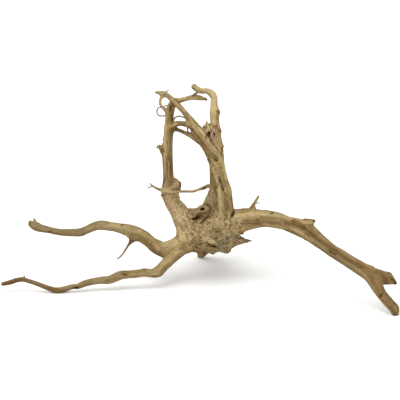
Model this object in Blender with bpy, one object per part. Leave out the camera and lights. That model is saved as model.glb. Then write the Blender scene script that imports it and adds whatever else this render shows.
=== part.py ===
"""Spiderwood root: a bare, weathered root crown with a burl, two uprights and three long roots.

The wood is one grown piece, so it is one solid. Limbs are given as routes of hand-placed
points in the front view: across, up, back (away from the viewer) and radius, in millimetres.
The front view looks down at the root by VIEW_TILT, and the routes are turned by that angle
into the standing frame. Thick limbs melt into each other through one smooth distance field,
and thin twigs are tubes that are sunk into the wood and fused.
"""
import math

import bpy
import numpy as np
from mathutils import Vector, noise

# Overall
MM = 0.001
VIEW_TILT = math.radians(20)
VIEW_DISTANCE = 5000.0
VIEW_CENTRE_UP = 145.0
ORIGIN_SHIFT = (-1.2, 16.6, 34.5)

# How the wood is meshed
VOXEL = 1.3
BLEND = 2.2
ROUTE_STEPS = 4
WOOD_FACES = 8200
TWIG_SIDES = 6
GROUND_MARGIN = 30.0

# Surface relief
FLUTE_DEPTH = 0.075
FLUTE_LENGTH = 55.0
BURL_CENTRE = (12.0, 104.0, 4.0)
BURL_REACH = 34.0
BURL_RELIEF = 2.2
BURL_GRAIN = 13.0

# Holes and slits pressed in from the front: across and up of both ends, radius, depth
DENTS = [
    (2.5, 133, 4, 133.3, 3.2, 7),
    (-8, 121, -3, 123, 3, 5),
    (-2, 122, 14, 124, 5, 2.5),
    (1, 116, 9, 120.5, 2.6, 3.5),
    (40, 125, 41.5, 129, 2.8, 6),
    (10, 138, 15, 132, 3, 3),
    (10, 226, 12, 231, 3.4, 6),
    (16, 222, 18, 227, 2.4, 3),
    (19, 195, 21, 194, 2.4, 3.5),
    (24, 173, 28, 163, 2, 2.6),
    (28, 162, 30, 154, 2, 2.6),
    (16, 204, 21, 197, 2.2, 2),
    (4, 90, 22, 86, 2.6, 5),
    (-4, 84, 8, 82, 2.4, 3),
    (226, 24, 227.5, 27, 2, 2.5),
    (160, 81, 168, 76, 2.4, 1.6),
    (118, 115, 130, 110, 3, 1.4),
    (89, 128, 91, 128, 2.2, 1.5),
    (-157, 35.5, -154, 36, 1.8, 1.2),
]
DENT_FACING = 0.25

# Thick limbs: across, up, back, radius
LIMBS = {
    "root_upper_left": [
        (-19, 92, 0, 12.5), (-34, 85.5, 0, 11), (-44, 83, 1, 10), (-53, 85.8, 2, 9.3),
        (-62.5, 92, 3.5, 7.7), (-71, 99, 5, 8.1), (-79, 102.6, 7, 8.5), (-91, 107.4, 10, 7),
        (-101, 109.7, 13, 5.9), (-112.5, 111.6, 16, 5.7), (-122.5, 113.2, 19, 6.1),
        (-129, 112.8, 21, 5.9), (-137.5, 109.7, 23, 5.3), (-145, 106.5, 25, 5.2),
        (-150, 104.7, 26, 5.3), (-156, 104.2, 27, 4.9), (-169, 104.3, 29, 4.3),
        (-180, 105.7, 31, 3.9), (-189, 107.7, 32, 4), (-197.5, 109.6, 33, 4.6),
        (-205, 112.4, 34, 5.6), (-211.4, 115.7, 35, 3.9),
    ],
    "root_lower_left": [
        (-10, 91, 0, 9), (-20, 86, -2, 7.8), (-28, 79.5, -4, 7.3), (-36.3, 72, -6, 7),
        (-43.6, 64.6, -8, 6.6), (-52.5, 55.6, -10, 6.6), (-61, 53.6, -11, 5.2), (-70, 54.2, -12, 4.9),
        (-80, 52.8, -13, 4.9), (-91, 51.7, -14, 5), (-100, 50.5, -15, 5.6), (-112.5, 45.4, -16, 4.9),
        (-122.5, 44.8, -17, 4.5), (-134, 43.2, -18, 4), (-145, 40.4, -19, 4),
        (-152.5, 37.1, -20, 3.6), (-160, 36.6, -20.5, 3.3), (-168, 34, -20.5, 3.7),
        (-177, 32.1, -20.8, 3.9), (-185.5, 33.8, -21, 3.4), (-195, 37.1, -22, 3),
        (-205.5, 41.1, -22, 2.9), (-215, 44, -21, 2.9), (-221, 45.7, -20, 3.1), (-230, 44.6, -20, 3),
        (-237.5, 42.1, -21, 2.9), (-246.8, 40, -22, 2.3),
    ],
    "root_right": [
        (30, 112, -6, 17), (45, 118, -8, 14.7), (56, 120.6, -10, 13.7), (68, 121.3, -12, 11.7),
        (77.5, 122.1, -14, 11), (87.5, 121.4, -18, 10.9), (97.5, 119.7, -22, 10.4),
        (107, 116.6, -26, 9.3), (117.5, 113.3, -31, 10), (129, 109, -36, 10.6),
        (137.5, 103, -41, 10.3), (148.5, 94.1, -47, 8.8), (159.5, 86, -54, 7.9), (167, 81, -58, 7.8),
        (174.5, 76.6, -62, 8), (186, 69.1, -68, 7.9), (200.5, 60.1, -75, 8.5), (212, 52.6, -80, 9),
        (220, 39, -83, 7.8), (226.2, 28, -86, 6.1), (234.4, 18.2, -89, 6.1), (241.9, 10, -91, 5.9),
        (243.9, 5, -91, 4.9),
    ],
    "stub_right": [
        (212, 53, -80, 8), (221, 50.6, -78, 8.1), (229, 49.1, -76, 7.4), (234.3, 48.8, -75, 6.7),
    ],
    "stub_point": [
        (226, 47.5, -76, 6), (236, 44.8, -74, 4.6), (241.5, 43.2, -73, 3.2), (245.2, 40.4, -73, 1.3),
    ],
    "stem_left": [
        (-8, 108, 0, 19), (-17.6, 115, 0, 13.9), (-26, 129, -1, 11.9), (-33, 139.7, -3, 10.1),
        (-36.1, 150, -5, 10.4), (-37.8, 157, -6, 9.2), (-39.4, 165, -8, 7.3), (-39.6, 174, -10, 6.8),
        (-40.2, 184, -13, 6.7), (-40.8, 200, -17, 6.5), (-40.6, 212, -20, 6.2), (-40, 223, -23, 6),
        (-39.4, 234, -26, 5.8), (-38.6, 246, -29, 5), (-37.6, 253, -31, 4.5), (-36.2, 259, -33, 4.8),
        (-34.5, 264.6, -35, 4.5), (-30, 268.4, -35, 3.9), (-25, 269.4, -33, 3.2),
        (-18.5, 271.1, -31, 3), (-10, 273.1, -29, 3.1), (-2.5, 273, -27, 3.5), (4, 271.8, -26, 2.3),
        (9, 270.3, -25, 1.2),
    ],
    "stem_right": [
        (12, 120, 8, 17), (16.6, 138, 4, 13.5), (19.8, 152, -2, 10.6), (20.8, 164, -6, 9.5),
        (21.1, 177, -10, 9.1), (21.1, 190, -13, 9), (21.8, 203, -16, 7.9), (21.3, 216, -19, 6.5),
        (20, 231, -22, 5.8), (19, 243, -24, 5.6), (18, 255, -27, 5.3), (17.6, 266, -30, 4.6),
        (17.3, 273.6, -32, 4.4), (13.8, 278.9, -35, 4.1), (9, 281.3, -37, 3.5),
        (2.5, 281.3, -40, 3.4), (-2.4, 283, -42, 3.6), (-7.3, 286.8, -44, 3.5),
    ],
    "strand_front": [
        (29, 118, -12, 14), (31.9, 132.5, -15, 10.8), (32.4, 144, -18, 9.2), (31, 156, -21, 9),
        (28.4, 168, -24, 7), (25.6, 180, -26, 6.3), (22.5, 191, -27, 7.5), (16.5, 202, -28, 8.4),
        (10.5, 213, -28, 8.1), (4.4, 222.6, -29, 6.7), (-2.2, 231.4, -31, 4.7), (-8, 238.8, -34, 3.7),
        (-12.3, 245.7, -36, 3.8), (-17.8, 252.7, -38, 3.4), (-23.8, 259.7, -40, 3.2),
        (-30.3, 266.6, -42, 3.1), (-35.4, 271.5, -44, 2.9), (-40.2, 275.3, -46, 2.6),
        (-45.5, 277.7, -48, 2.4), (-50, 278.9, -50, 2), (-55, 279.6, -51, 1.7),
    ],
    "strand_upper": [
        (-9.4, 239.6, -35, 1.6), (-3.4, 232.8, -35.5, 2.5), (4, 226.2, -35.5, 3.4),
        (10, 218.5, -36, 3.2), (16, 209, -36, 3), (21, 200, -35, 2.8), (25, 190.5, -33, 3),
        (27.6, 180, -30, 3.2), (29.5, 168, -28, 3.6), (32, 155, -26, 4),
    ],
    "strand_slim": [
        (13.5, 196, -25, 3.2), (18, 181, -28, 2.8), (22, 169, -31, 2.6), (25, 158, -30, 2.6),
        (26, 145, -27, 2.6), (26, 132.5, -26, 3), (26, 120, -22, 4),
    ],
    "bridge_low": [
        (5, 217.5, -27, 4.7), (-3.5, 220.8, -26, 4.2), (-10, 224.3, -25, 3.1), (-18, 228.3, -25, 2.4),
        (-25, 231.6, -25, 2.1), (-35, 235.6, -26, 2),
    ],
    "bridge_high": [
        (-6, 237, -33, 4), (-14, 238.6, -36, 3), (-20, 240.2, -36, 3), (-26, 240.7, -35, 3.2),
        (-31, 239.2, -33, 3.2), (-36, 235, -31, 3), (-39, 233, -29, 3),
    ],
    "bridge_web": [(-3, 228.5, -31, 4.6), (-9, 229.6, -30, 2)],
    "knots_right": [(19, 254.6, -28, 4.6), (23.7, 254.4, -30, 1.2)],
    "knots_middle": [(20, 231, -22, 4.8), (24.8, 231.2, -25, 1.2)],
    "knots_low": [(22, 212, -20, 5.8), (27.8, 212.3, -22, 1.2)],
    "crown": [(13, 210, -18, 7), (10.5, 222, -22, 6.8), (9.2, 231, -24, 5.4), (8.4, 237, -25, 3)],
    "knob_right": [(128, 111, -36, 8.8), (136, 116.3, -36, 4.4), (143, 119, -36, 1.6)],
    "knob_left": [(-37, 158, -6, 9), (-32.5, 162, -6, 8.2), (-31, 164, -6, 7)],
    "tap_root": [
        (10, 108, 12, 22), (14, 105, 32, 15.5), (19, 101, 46, 11.5), (21, 97, 58, 10),
        (17, 93, 70, 9.4), (10, 88, 80, 8), (5, 82, 88, 6.4), (2, 78, 94, 5), (0, 76, 98, 3.6),
    ],
    "tap_branch": [
        (20, 100, 52, 9), (26, 104, 64, 6.2), (30, 106, 74, 5), (37, 105, 82, 4.2), (43, 106, 87, 3),
    ],
    "rear_root": [
        (-4, 112, 14, 14), (-14, 116, 30, 9), (-19, 118, 42, 6.5), (-20, 115, 54, 4.6),
        (-16, 112, 64, 3),
    ],
    "burl_left": [(-8, 106, 2, 20.5), (-4, 97, 0, 15.5)],
    "saddle": [(-17, 121, 0, 11), (-9, 121.5, 0, 11.5), (0, 122.5, 2, 12), (4.6, 127.6, 2, 10)],
    "burl_mid": [(8, 107, -4, 26), (14, 100.6, -4, 21.6)],
    "burl_right": [(26, 106, -2, 22), (30, 98, -2, 16)],
    "burl_front": [(24, 118, -20, 8), (8, 112, -24, 7), (-8, 102, -18, 7), (-20, 96, -12, 6)],
    "flange": [(22, 97, -6, 13), (30, 91, -2, 9), (33.6, 83.6, 2, 5)],
    "spike_right": [(34, 97, -4, 8.4), (45.5, 94.6, -4, 6), (53.5, 94.2, -4, 4)],
    "nub_right": [(40, 108, -10, 6), (47.5, 105.5, -15, 3.4), (52.4, 104.5, -16, 2.6)],
    "nub_front": [(4, 102, -20, 8), (10, 96, -27, 3.8), (16, 92, -31, 2.8)],
    "root_spike_a": [(-2, 92, 10, 12), (-0.6, 82, 16, 5.5), (0.8, 77, 18, 2.6)],
    "root_spike_b": [(14, 90, 8, 10), (15, 81.6, 10, 4.6), (15.6, 78.6, 11, 2.4)],
}

# Thin twigs, fused as tubes: across, up, back, radius
TWIGS = {
    "hanging_twig": [
        (-45.6, 277.6, -48, 1.7), (-48.7, 272.3, -47, 1.6), (-49.8, 266.9, -45, 1.6),
        (-48.6, 262.6, -42, 1.6), (-45.2, 259.3, -38, 1.7), (-41.6, 255.5, -34, 1.7),
        (-38, 252, -31, 1.7),
    ],
    "cross_twig": [
        (24, 159.4, -24, 2.2), (15, 162.2, -28.5, 2), (9.4, 162.5, -29, 2.2), (5, 160.2, -28, 2.1),
        (-1.3, 158.2, -26, 1.5), (-8.8, 155.9, -24, 1.6), (-17.5, 155.7, -21.5, 1.5),
        (-27.5, 155.7, -19, 1.5), (-36.3, 155.1, -18.7, 1.6), (-43, 155.9, -16.8, 1.5),
        (-48.5, 157.2, -13.5, 1.4), (-53, 159, -12, 1.3), (-58.8, 162.3, -12, 1.2),
        (-63.1, 166.3, -12, 0.7),
    ],
    "cross_twig_fork": [(-56, 160.6, -12, 0.9), (-60, 162, -11.5, 0.9), (-66, 159.6, -10, 0.6)],
    "drop_twig": [
        (-83, 98.6, 8, 4.8), (-86.4, 93, 7, 2.4), (-89.2, 89, 5, 1.6), (-92.8, 83.4, 3, 1.3),
        (-97.2, 76.6, 0, 1.1), (-103.8, 70.6, -3, 0.8),
    ],
    "spur_twig": [
        (64.6, 129.6, -12, 4.4), (66.8, 138.6, -12, 2.1), (69.8, 144, -12, 1.8),
        (73, 149.8, -11, 1.3),
    ],
    "spur_hair": [(67.6, 140.4, -12, 0.6), (71.6, 141, -13, 0.6), (75, 141.7, -14, 0.5)],
    "curl": [
        (-13, 240.5, -37, 1), (-17.6, 246.6, -38, 0.9), (-22.5, 249.1, -38, 0.9),
        (-27, 249.5, -37, 0.9), (-31, 248.2, -36, 1), (-33, 244.6, -35, 1.1),
        (-32, 239.5, -33.5, 1.4),
    ],
    "top_sprig": [(-46, 278, -49, 0.8), (-42.4, 280.4, -49, 0.8), (-39.4, 282, -49, 0.7)],
    "rootlet_a": [
        (-47.6, 260.2, -41, 0.5), (-43.6, 262.6, -38, 0.6), (-40, 263.2, -36, 0.6),
        (-35, 262, -35, 0.7),
    ],
    "rootlet_b": [
        (-48, 261.3, -41, 0.7), (-52.3, 260, -42, 0.6), (-53.5, 257.5, -42, 0.6),
        (-53.6, 253.8, -41, 0.6), (-51.5, 250.6, -39, 0.6), (-47.5, 250, -35, 0.6),
        (-39, 250.5, -31, 0.6),
    ],
    "side_curl": [
        (-43, 203, -18, 1.8), (-48, 205.9, -19, 1.6), (-49.6, 210.4, -20, 1.7),
        (-51.8, 212.3, -21, 1.6), (-53.8, 210, -22, 1.3),
    ],
    "bridge_sprig": [(-13, 227, -26, 0.8), (-15.6, 232.5, -30, 0.9), (-14.5, 238, -35, 0.9)],
    "branch_sprig": [(-10, 274.6, -30, 1.4), (-5.8, 277.6, -34, 1.4), (-1.3, 280.4, -38, 1.2)],
    "tip_twig": [(-204, 113, 34, 2.4), (-206.4, 119, 34, 1.5), (-207.6, 122.2, 34, 0.9)],
    "root_spur": [(-219.5, 45, -20, 2), (-219.9, 50.4, -20, 0.7)],
    "spike_tip": [(48, 94.6, -4, 5), (56.6, 94, -4, 3.1), (64.4, 94, -4, 0.7)],
    "crown_splinter_a": [(6.4, 229, -27, 3.2), (8, 237, -27, 2.1), (8.6, 243.6, -26.5, 0.7)],
    "crown_splinter_b": [(3.6, 226, -27, 2.6), (3.6, 232, -28, 1.7), (4.2, 238, -28, 0.6)],
    "crown_splinter_c": [(12, 229, -24, 3), (12, 236, -24, 1.8), (11, 241.6, -24, 0.6)],
    "crown_splinter_d": [(9, 226, -29.5, 2.4), (6.2, 232, -31.5, 1.4), (6, 237, -31.5, 0.6)],
    "burl_splinter_a": [(2, 98, -22, 4.5), (10, 92, -29, 2.4), (22, 87.5, -31, 0.6)],
    "burl_splinter_b": [(4, 93, -19, 4), (12, 87, -24, 2.2), (21, 83.5, -25, 0.6)],
    "burl_splinter_c": [(-4, 90, -15, 4), (2, 84.5, -18, 2), (8, 81.5, -19, 0.6)],
    "flange_splinter": [(34, 91.5, -8, 4), (42, 90.6, -10, 2.6), (51, 90, -9, 0.7)],
}


def stand(point):
    """Turn a point of the front view into the standing frame, in millimetres."""
    across, up, back = point[:3]
    near = 1 + back / VIEW_DISTANCE
    high = VIEW_CENTRE_UP + (up - VIEW_CENTRE_UP) * near
    y = high * math.sin(VIEW_TILT) + back * math.cos(VIEW_TILT)
    z = high * math.cos(VIEW_TILT) - back * math.sin(VIEW_TILT)
    return (across * near - ORIGIN_SHIFT[0], y - ORIGIN_SHIFT[1], z - ORIGIN_SHIFT[2])


def follow(route, steps=ROUTE_STEPS):
    """Smooth curve through a route: rows of x, y, z, radius."""
    knots = np.array([stand(p) + (p[3],) for p in route], dtype=float)
    knots = np.vstack([2 * knots[0] - knots[1], knots, 2 * knots[-1] - knots[-2]])
    rows = []
    for a, b, c, d in zip(knots[:-3], knots[1:-2], knots[2:-1], knots[3:]):
        for t in np.linspace(0, 1, steps, endpoint=False):
            rows.append(0.5 * (2 * b + (c - a) * t + (2 * a - 5 * b + 4 * c - d) * t * t
                               + (3 * b - a - 3 * c + d) * t ** 3))
    rows.append(knots[-2])
    rows = np.array(rows)
    rows[:, 3] = np.maximum(rows[:, 3], 0.4)
    return rows


def tube(name, rows, sides, turn=0.0):
    """Closed tube along rows, with rounded ends."""
    path = rows[:, :3]
    radius = rows[:, 3]
    tangent = np.gradient(path, axis=0)
    tangent /= np.linalg.norm(tangent, axis=1)[:, None]
    start = path[0] - tangent[0] * radius[0] * 0.6
    end = path[-1] + tangent[-1] * radius[-1] * 0.6
    side = Vector(tangent[0]).orthogonal().normalized()
    verts = []
    for centre, along, r in zip(path, tangent, radius):
        along = Vector(along)
        side = (side - along * side.dot(along)).normalized()
        other = along.cross(side)
        for k in range(sides):
            angle = turn + 2 * math.pi * k / sides
            verts.append(Vector(centre) + (side * math.cos(angle) + other * math.sin(angle)) * r)
    faces = []
    for ring in range(len(path) - 1):
        low = ring * sides
        for k in range(sides):
            n = (k + 1) % sides
            faces.append((low + k, low + n, low + sides + n, low + sides + k))
    first = len(verts)
    verts += [Vector(start), Vector(end)]
    last = (len(path) - 1) * sides
    for k in range(sides):
        n = (k + 1) % sides
        faces.append((first, n, k))
        faces.append((first + 1, last + k, last + n))
    mesh = bpy.data.meshes.new(name)
    mesh.from_pydata([v * MM for v in verts], [], faces)
    return new_object(name, mesh)


def new_object(name, mesh):
    obj = bpy.data.objects.new(name, mesh)
    bpy.context.scene.collection.objects.link(obj)
    return obj


def join(name, parts):
    """One mesh object holding the faces of all parts."""
    verts = []
    faces = []
    for part in parts:
        offset = len(verts)
        verts += [v.co.copy() for v in part.data.vertices]
        faces += [tuple(i + offset for i in p.vertices) for p in part.data.polygons]
        bpy.data.objects.remove(part)
    mesh = bpy.data.meshes.new(name)
    mesh.from_pydata(verts, [], faces)
    return new_object(name, mesh)


def bake(obj):
    """Replace an object's mesh with its modified mesh."""
    graph = bpy.context.evaluated_depsgraph_get()
    mesh = bpy.data.meshes.new_from_object(obj.evaluated_get(graph))
    obj.modifiers.clear()
    obj.data = mesh


def limb_field(points, rows):
    """Distance to one limb, the outward direction, how far along it is and its radius."""
    a = rows[:-1]
    b = rows[1:]
    axis = b[:, :3] - a[:, :3]
    length = np.linalg.norm(axis, axis=1)
    run = np.concatenate([[0], np.cumsum(length)])
    best = np.full(len(points), 1e9)
    out = np.zeros((len(points), 3))
    along = np.zeros(len(points))
    thick = np.ones(len(points))
    for i in range(len(a)):
        taper = np.clip((a[i, 3] - b[i, 3]) / length[i], -0.8, 0.8)
        lean = taper / math.sqrt(1 - taper ** 2)
        offset = points - a[i, :3]
        reach = offset @ axis[i] / length[i]
        aside = np.sqrt(np.maximum((offset ** 2).sum(axis=1) - reach ** 2, 0))
        t = np.clip((reach - aside * lean) / length[i], 0, 1)
        off = offset - t[:, None] * axis[i]
        gap = np.linalg.norm(off, axis=1)
        r = a[i, 3] + t * (b[i, 3] - a[i, 3])
        nearer = gap - r < best
        best[nearer] = (gap - r)[nearer]
        out[nearer] = off[nearer] / np.maximum(gap[nearer], 1e-6)[:, None]
        along[nearer] = (run[i] + t * length[i])[nearer]
        thick[nearer] = r[nearer]
    return best, out, along, thick


def wood_field(points, limbs):
    """Smooth union of all limbs, and the values of the nearest limb."""
    total = np.zeros(len(points))
    push = np.zeros((len(points), 3))
    nearest = np.full(len(points), 1e9)
    out = np.zeros((len(points), 3))
    along = np.zeros(len(points))
    thick = np.ones(len(points))
    reach = 8 * BLEND
    for number, rows in enumerate(limbs):
        low = (rows[:, :3] - rows[:, 3:]).min(axis=0) - reach
        high = (rows[:, :3] + rows[:, 3:]).max(axis=0) + reach
        near = np.nonzero(((points > low) & (points < high)).all(axis=1))[0]
        if not len(near):
            continue
        d, u, s, r = limb_field(points[near], rows)
        weight = np.exp(-np.clip(d, -40, 40) / BLEND)
        total[near] += weight
        push[near] += u * weight[:, None]
        closer = d < nearest[near]
        pick = near[closer]
        nearest[pick] = d[closer]
        out[pick] = u[closer]
        along[pick] = s[closer] + 97.0 * number
        thick[pick] = r[closer]
    total = np.maximum(total, 1e-12)
    return -BLEND * np.log(total), push / total[:, None], out, along, thick


def dent_depth(points, normal):
    """How far each point is pressed away from the viewer by the dents."""
    shift = np.array(ORIGIN_SHIFT)
    x, y, z = (points + shift).T
    up = y * math.sin(VIEW_TILT) + z * math.cos(VIEW_TILT)
    facing = np.clip((-normal @ view_direction() - DENT_FACING) / 0.4, 0, 1)
    depth = np.zeros(len(points))
    for x0, u0, x1, u1, radius, deep in DENTS:
        run = np.array([x1 - x0, u1 - u0])
        t = np.clip(((x - x0) * run[0] + (up - u0) * run[1]) / (run @ run), 0, 1)
        gap = np.hypot(x - x0 - t * run[0], up - u0 - t * run[1]) / radius
        depth += deep * facing * np.clip(1 - gap ** 2, 0, 1) ** 2
    return depth


def view_direction():
    return np.array([0.0, math.cos(VIEW_TILT), -math.sin(VIEW_TILT)])


def settle(points, limbs):
    """Move points onto the smooth union, then add flutes along the limbs and lumps on the burl."""
    for _ in range(4):
        d, push, out, along, thick = wood_field(points, limbs)
        steep = np.maximum((push ** 2).sum(axis=1), 0.25)
        step = np.clip(d / steep, -2.5, 2.5)
        points = points - push * step[:, None]
    d, push, out, along, thick = wood_field(points, limbs)
    normal = push / np.maximum(np.linalg.norm(push, axis=1), 1e-6)[:, None]
    burl = np.array(stand(BURL_CENTRE))
    gap = np.linalg.norm(points - burl, axis=1)
    on_burl = np.clip((BURL_REACH + 8 - gap) / 16, 0, 1)
    rise = np.zeros(len(points))
    for i, p in enumerate(points):
        q = Vector(out[i]) * 1.7 + Vector((0.0, 0.0, along[i] / FLUTE_LENGTH))
        rise[i] = noise.noise(q) * min(thick[i], 14) * FLUTE_DEPTH * 2.4 * (1 - 0.5 * on_burl[i])
        if on_burl[i] > 0:
            rise[i] += on_burl[i] * BURL_RELIEF * noise.noise(Vector(p) / BURL_GRAIN)
    points = points + normal * rise[:, None]
    return points + dent_depth(points, normal)[:, None] * view_direction()


def shade(obj, material):
    obj.data.materials.clear()
    obj.data.materials.append(material)
    for face in obj.data.polygons:
        face.use_smooth = True


def wood_material():
    material = bpy.data.materials.new("bare_wood")
    material.use_nodes = True
    shader = material.node_tree.nodes["Principled BSDF"]
    shader.inputs["Base Color"].default_value = (0.34, 0.26, 0.145, 1)
    shader.inputs["Roughness"].default_value = 0.8
    shader.inputs["Specular IOR Level"].default_value = 0.25
    material.diffuse_color = (0.34, 0.26, 0.145, 1)
    return material


def ground_cutter(obj):
    """Box under the floor that cuts the three resting spots flat."""
    xs = [v.co.x for v in obj.data.vertices]
    ys = [v.co.y for v in obj.data.vertices]
    m = GROUND_MARGIN * MM
    x0, x1, y0, y1 = min(xs) - m, max(xs) + m, min(ys) - m, max(ys) + m
    verts = [(x, y, z) for z in (-m, 0.0) for x, y in ((x0, y0), (x1, y0), (x1, y1), (x0, y1))]
    faces = [(3, 2, 1, 0), (4, 5, 6, 7), (0, 1, 5, 4), (1, 2, 6, 5), (2, 3, 7, 6), (3, 0, 4, 7)]
    mesh = bpy.data.meshes.new("under_floor")
    mesh.from_pydata(verts, [], faces)
    return new_object("under_floor", mesh)


def build():
    for obj in list(bpy.data.objects):
        bpy.data.objects.remove(obj, do_unlink=True)
    limbs = [follow(route) for route in LIMBS.values()]

    # Thick limbs, melted together
    wood = join("spiderwood_root", [tube(name, rows, 12) for name, rows in zip(LIMBS, limbs)])
    remesh = wood.modifiers.new("melt", "REMESH")
    remesh.mode = "VOXEL"
    remesh.voxel_size = VOXEL * MM
    bake(wood)
    points = np.array([v.co for v in wood.data.vertices]) / MM
    points = settle(points, limbs)
    wood.data.vertices.foreach_set("co", (points * MM).ravel())
    thin = wood.modifiers.new("fewer_faces", "DECIMATE")
    thin.ratio = WOOD_FACES / (2 * len(wood.data.polygons))
    bake(wood)

    # Thin twigs, sunk in and fused
    for name, route in TWIGS.items():
        twig = tube(name, follow(route, 2), TWIG_SIDES)
        twig.hide_render = True
        twig.display_type = "WIRE"
        fuse = wood.modifiers.new("fuse_" + name, "BOOLEAN")
        fuse.operation = "UNION"
        fuse.solver = "EXACT"
        fuse.object = twig

    # Three low points, cut flat on the floor
    cutter = ground_cutter(wood)
    cutter.hide_render = True
    cutter.display_type = "WIRE"
    flat = wood.modifiers.new("flat_on_floor", "BOOLEAN")
    flat.operation = "DIFFERENCE"
    flat.solver = "EXACT"
    flat.object = cutter
    shade(wood, wood_material())
    return wood


build()
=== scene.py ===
"""Spiderwood root: the bare, weathered wood as it looks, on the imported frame.

The limbs are the same routes as in the solid model: across, up, back and radius in
millimetres, in a front view that looks down by VIEW_TILT. Here they are melted at a fine
scale, and carved with grain, pores, cracks and splinters.
"""

import math

import bpy
import numpy as np
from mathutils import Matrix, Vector, noise


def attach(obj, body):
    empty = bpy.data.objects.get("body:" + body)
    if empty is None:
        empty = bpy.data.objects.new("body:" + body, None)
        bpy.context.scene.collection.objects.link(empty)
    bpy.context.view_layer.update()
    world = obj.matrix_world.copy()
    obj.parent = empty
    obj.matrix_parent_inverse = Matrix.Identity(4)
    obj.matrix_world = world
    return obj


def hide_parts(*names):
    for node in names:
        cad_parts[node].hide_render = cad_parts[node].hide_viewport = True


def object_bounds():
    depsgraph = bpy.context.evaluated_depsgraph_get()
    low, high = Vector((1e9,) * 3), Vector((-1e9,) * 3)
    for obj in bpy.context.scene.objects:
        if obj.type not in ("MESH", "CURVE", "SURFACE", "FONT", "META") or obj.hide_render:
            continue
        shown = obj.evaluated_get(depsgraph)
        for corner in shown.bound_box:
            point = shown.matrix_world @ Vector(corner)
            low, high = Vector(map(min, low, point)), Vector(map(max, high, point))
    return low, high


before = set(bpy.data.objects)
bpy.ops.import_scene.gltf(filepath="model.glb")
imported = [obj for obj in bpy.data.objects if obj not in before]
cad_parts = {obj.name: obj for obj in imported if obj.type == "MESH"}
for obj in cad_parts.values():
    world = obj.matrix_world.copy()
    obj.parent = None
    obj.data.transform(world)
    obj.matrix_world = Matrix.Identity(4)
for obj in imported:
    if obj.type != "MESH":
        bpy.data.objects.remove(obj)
cad_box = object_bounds()

# Shared with the solid model
MM = 0.001
VIEW_TILT = math.radians(20)
VIEW_DISTANCE = 5000.0
VIEW_CENTRE_UP = 145.0
ORIGIN_SHIFT = (-1.2, 16.6, 34.5)
BLEND = 2.2
FLUTE_DEPTH = 0.075
FLUTE_LENGTH = 55.0
BURL_CENTRE = (12.0, 104.0, 4.0)
BURL_REACH = 34.0
BURL_RELIEF = 2.2
BURL_GRAIN = 13.0
DENT_FACING = 0.25

# How flutes turn round a limb and grow with its radius, and how soft the edges of the burl and
# of dents are
FLUTE_TURN = 1.7
FLUTE_THICKEST = 14
FLUTE_GAIN = 2.4
BURL_EDGE = 16
DENT_SOFT = 0.4

# The front view: the direction it looks in, its width and the camera's sensor in millimetres
VIEW_DIRECTION = np.array([0.0, math.cos(VIEW_TILT), -math.sin(VIEW_TILT)])
VIEW_WIDTH = 500
SENSOR_WIDTH = 36

# How finely the wood is made, and the least radius of thin twigs, in millimetres
VOXEL = 1.08
SETTLE_ROUNDS = 3
SETTLE_STEP = 2.5
LIMB_SIDES = 14
ROUTE_STEPS = 4
FINE_SIDES = 9
FINE_STEPS = 5
LEAST_RADIUS = 0.25
TUBE_CAP = 0.6
TWIG_RADIUS = 0.42
THICKER = {"hanging_twig": 1.05, "rootlet_a": 0.7, "rootlet_b": 0.75}

# The distance field: how far a limb is felt, and what sets the grain of each limb apart
FIELD_REACH = 8 * BLEND
FAR = 1e9
STEEPEST_TAPER = 0.8
GRAIN_SHIFT = 97.0
# How much nearer one limb must be than the next for its grain to be clear, in millimetres
CLEAR_GAP = 3

# Fine relief, in millimetres: depth, width across the grain, length along it. A level is the
# strength of the noise at which a cord or wrinkle turns into a groove, or at which a pit begins
CORD_DEPTH = 0.75
CORD_WIDTH = 3.4
CORD_LENGTH = 42.0
CORD_LEVEL = 0.35
GROOVE_DEPTH = 0.6
GROOVE_WIDTH = 2.0
GROOVE_LENGTH = 26.0
WRINKLE_DEPTH = 1.3
WRINKLE_SIZE = 5.5
WRINKLE_TWIST = 4.0
WRINKLE_LEVEL = 0.3
TWIST_SIZE = 9
PORE_DEPTH = 0.9
PORE_SIZE = 2.6
PIT_DEPTH = 0.7
PIT_SIZE = 2.3
PIT_LEVEL = 0.42
# Radius from which a limb has its full relief
FULL_RELIEF = 7

# Depth at which the painted shade in a hole turns black, and the size of the ragged edges of colours, in
# millimetres
HOLE_SHADE_DEPTH = 8.0
RAGGED_SIZE = 2.6
# How much wider than its radius a patch is before its edge is softened
PATCH_SPREAD = 1.35
ROUGH_SPREAD = 1.3
# How far round from the front patches and mottling reach, and the mottling left at the rear
PATCH_FACING = (-0.35, 0.5)
LUMPY_FACING = (-0.5, 0.6)
REAR_LUMPY = 0.35

# Colours of the wood (base and shade), and how its palest streaks differ from the base
BARE_COLOURS = ((0.312, 0.226, 0.099), (0.150, 0.098, 0.033))
TWIG_COLOURS = ((0.26, 0.195, 0.10), (0.12, 0.083, 0.034))
PALE_GAIN = (1.45, 1.5, 1.75)
MOTTLES = [(0.39, (0.18, 0.122, 0.052)), (0.46, (0.28, 0.203, 0.092)),
           (0.52, (0.385, 0.292, 0.145)), (0.59, (0.56, 0.455, 0.255))]
LINES = [(0.33, (0.52, 0.45, 0.34)), (0.48, (1, 1, 1))]
SPECKS = [(0.34, (0.5, 0.4, 0.28)), (0.42, (1, 1, 1))]
CRUMBS = [(0.40, (0.56, 0.5, 0.42)), (0.48, (1, 1, 1)), (0.59, (1.5, 1.52, 1.6))]
ROUGHNESS = [(0.3, (0.95, 0.95, 0.95)), (0.7, (0.7, 0.7, 0.7))]
# Tints of the patches; the pale tint is partly a painted highlight along ridges
TINTS = [("pale", (0.53, 0.42, 0.21)), ("grey", (0.325, 0.268, 0.15)),
         ("pink", (0.36, 0.235, 0.145)), ("orange", (0.33, 0.165, 0.05))]
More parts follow.
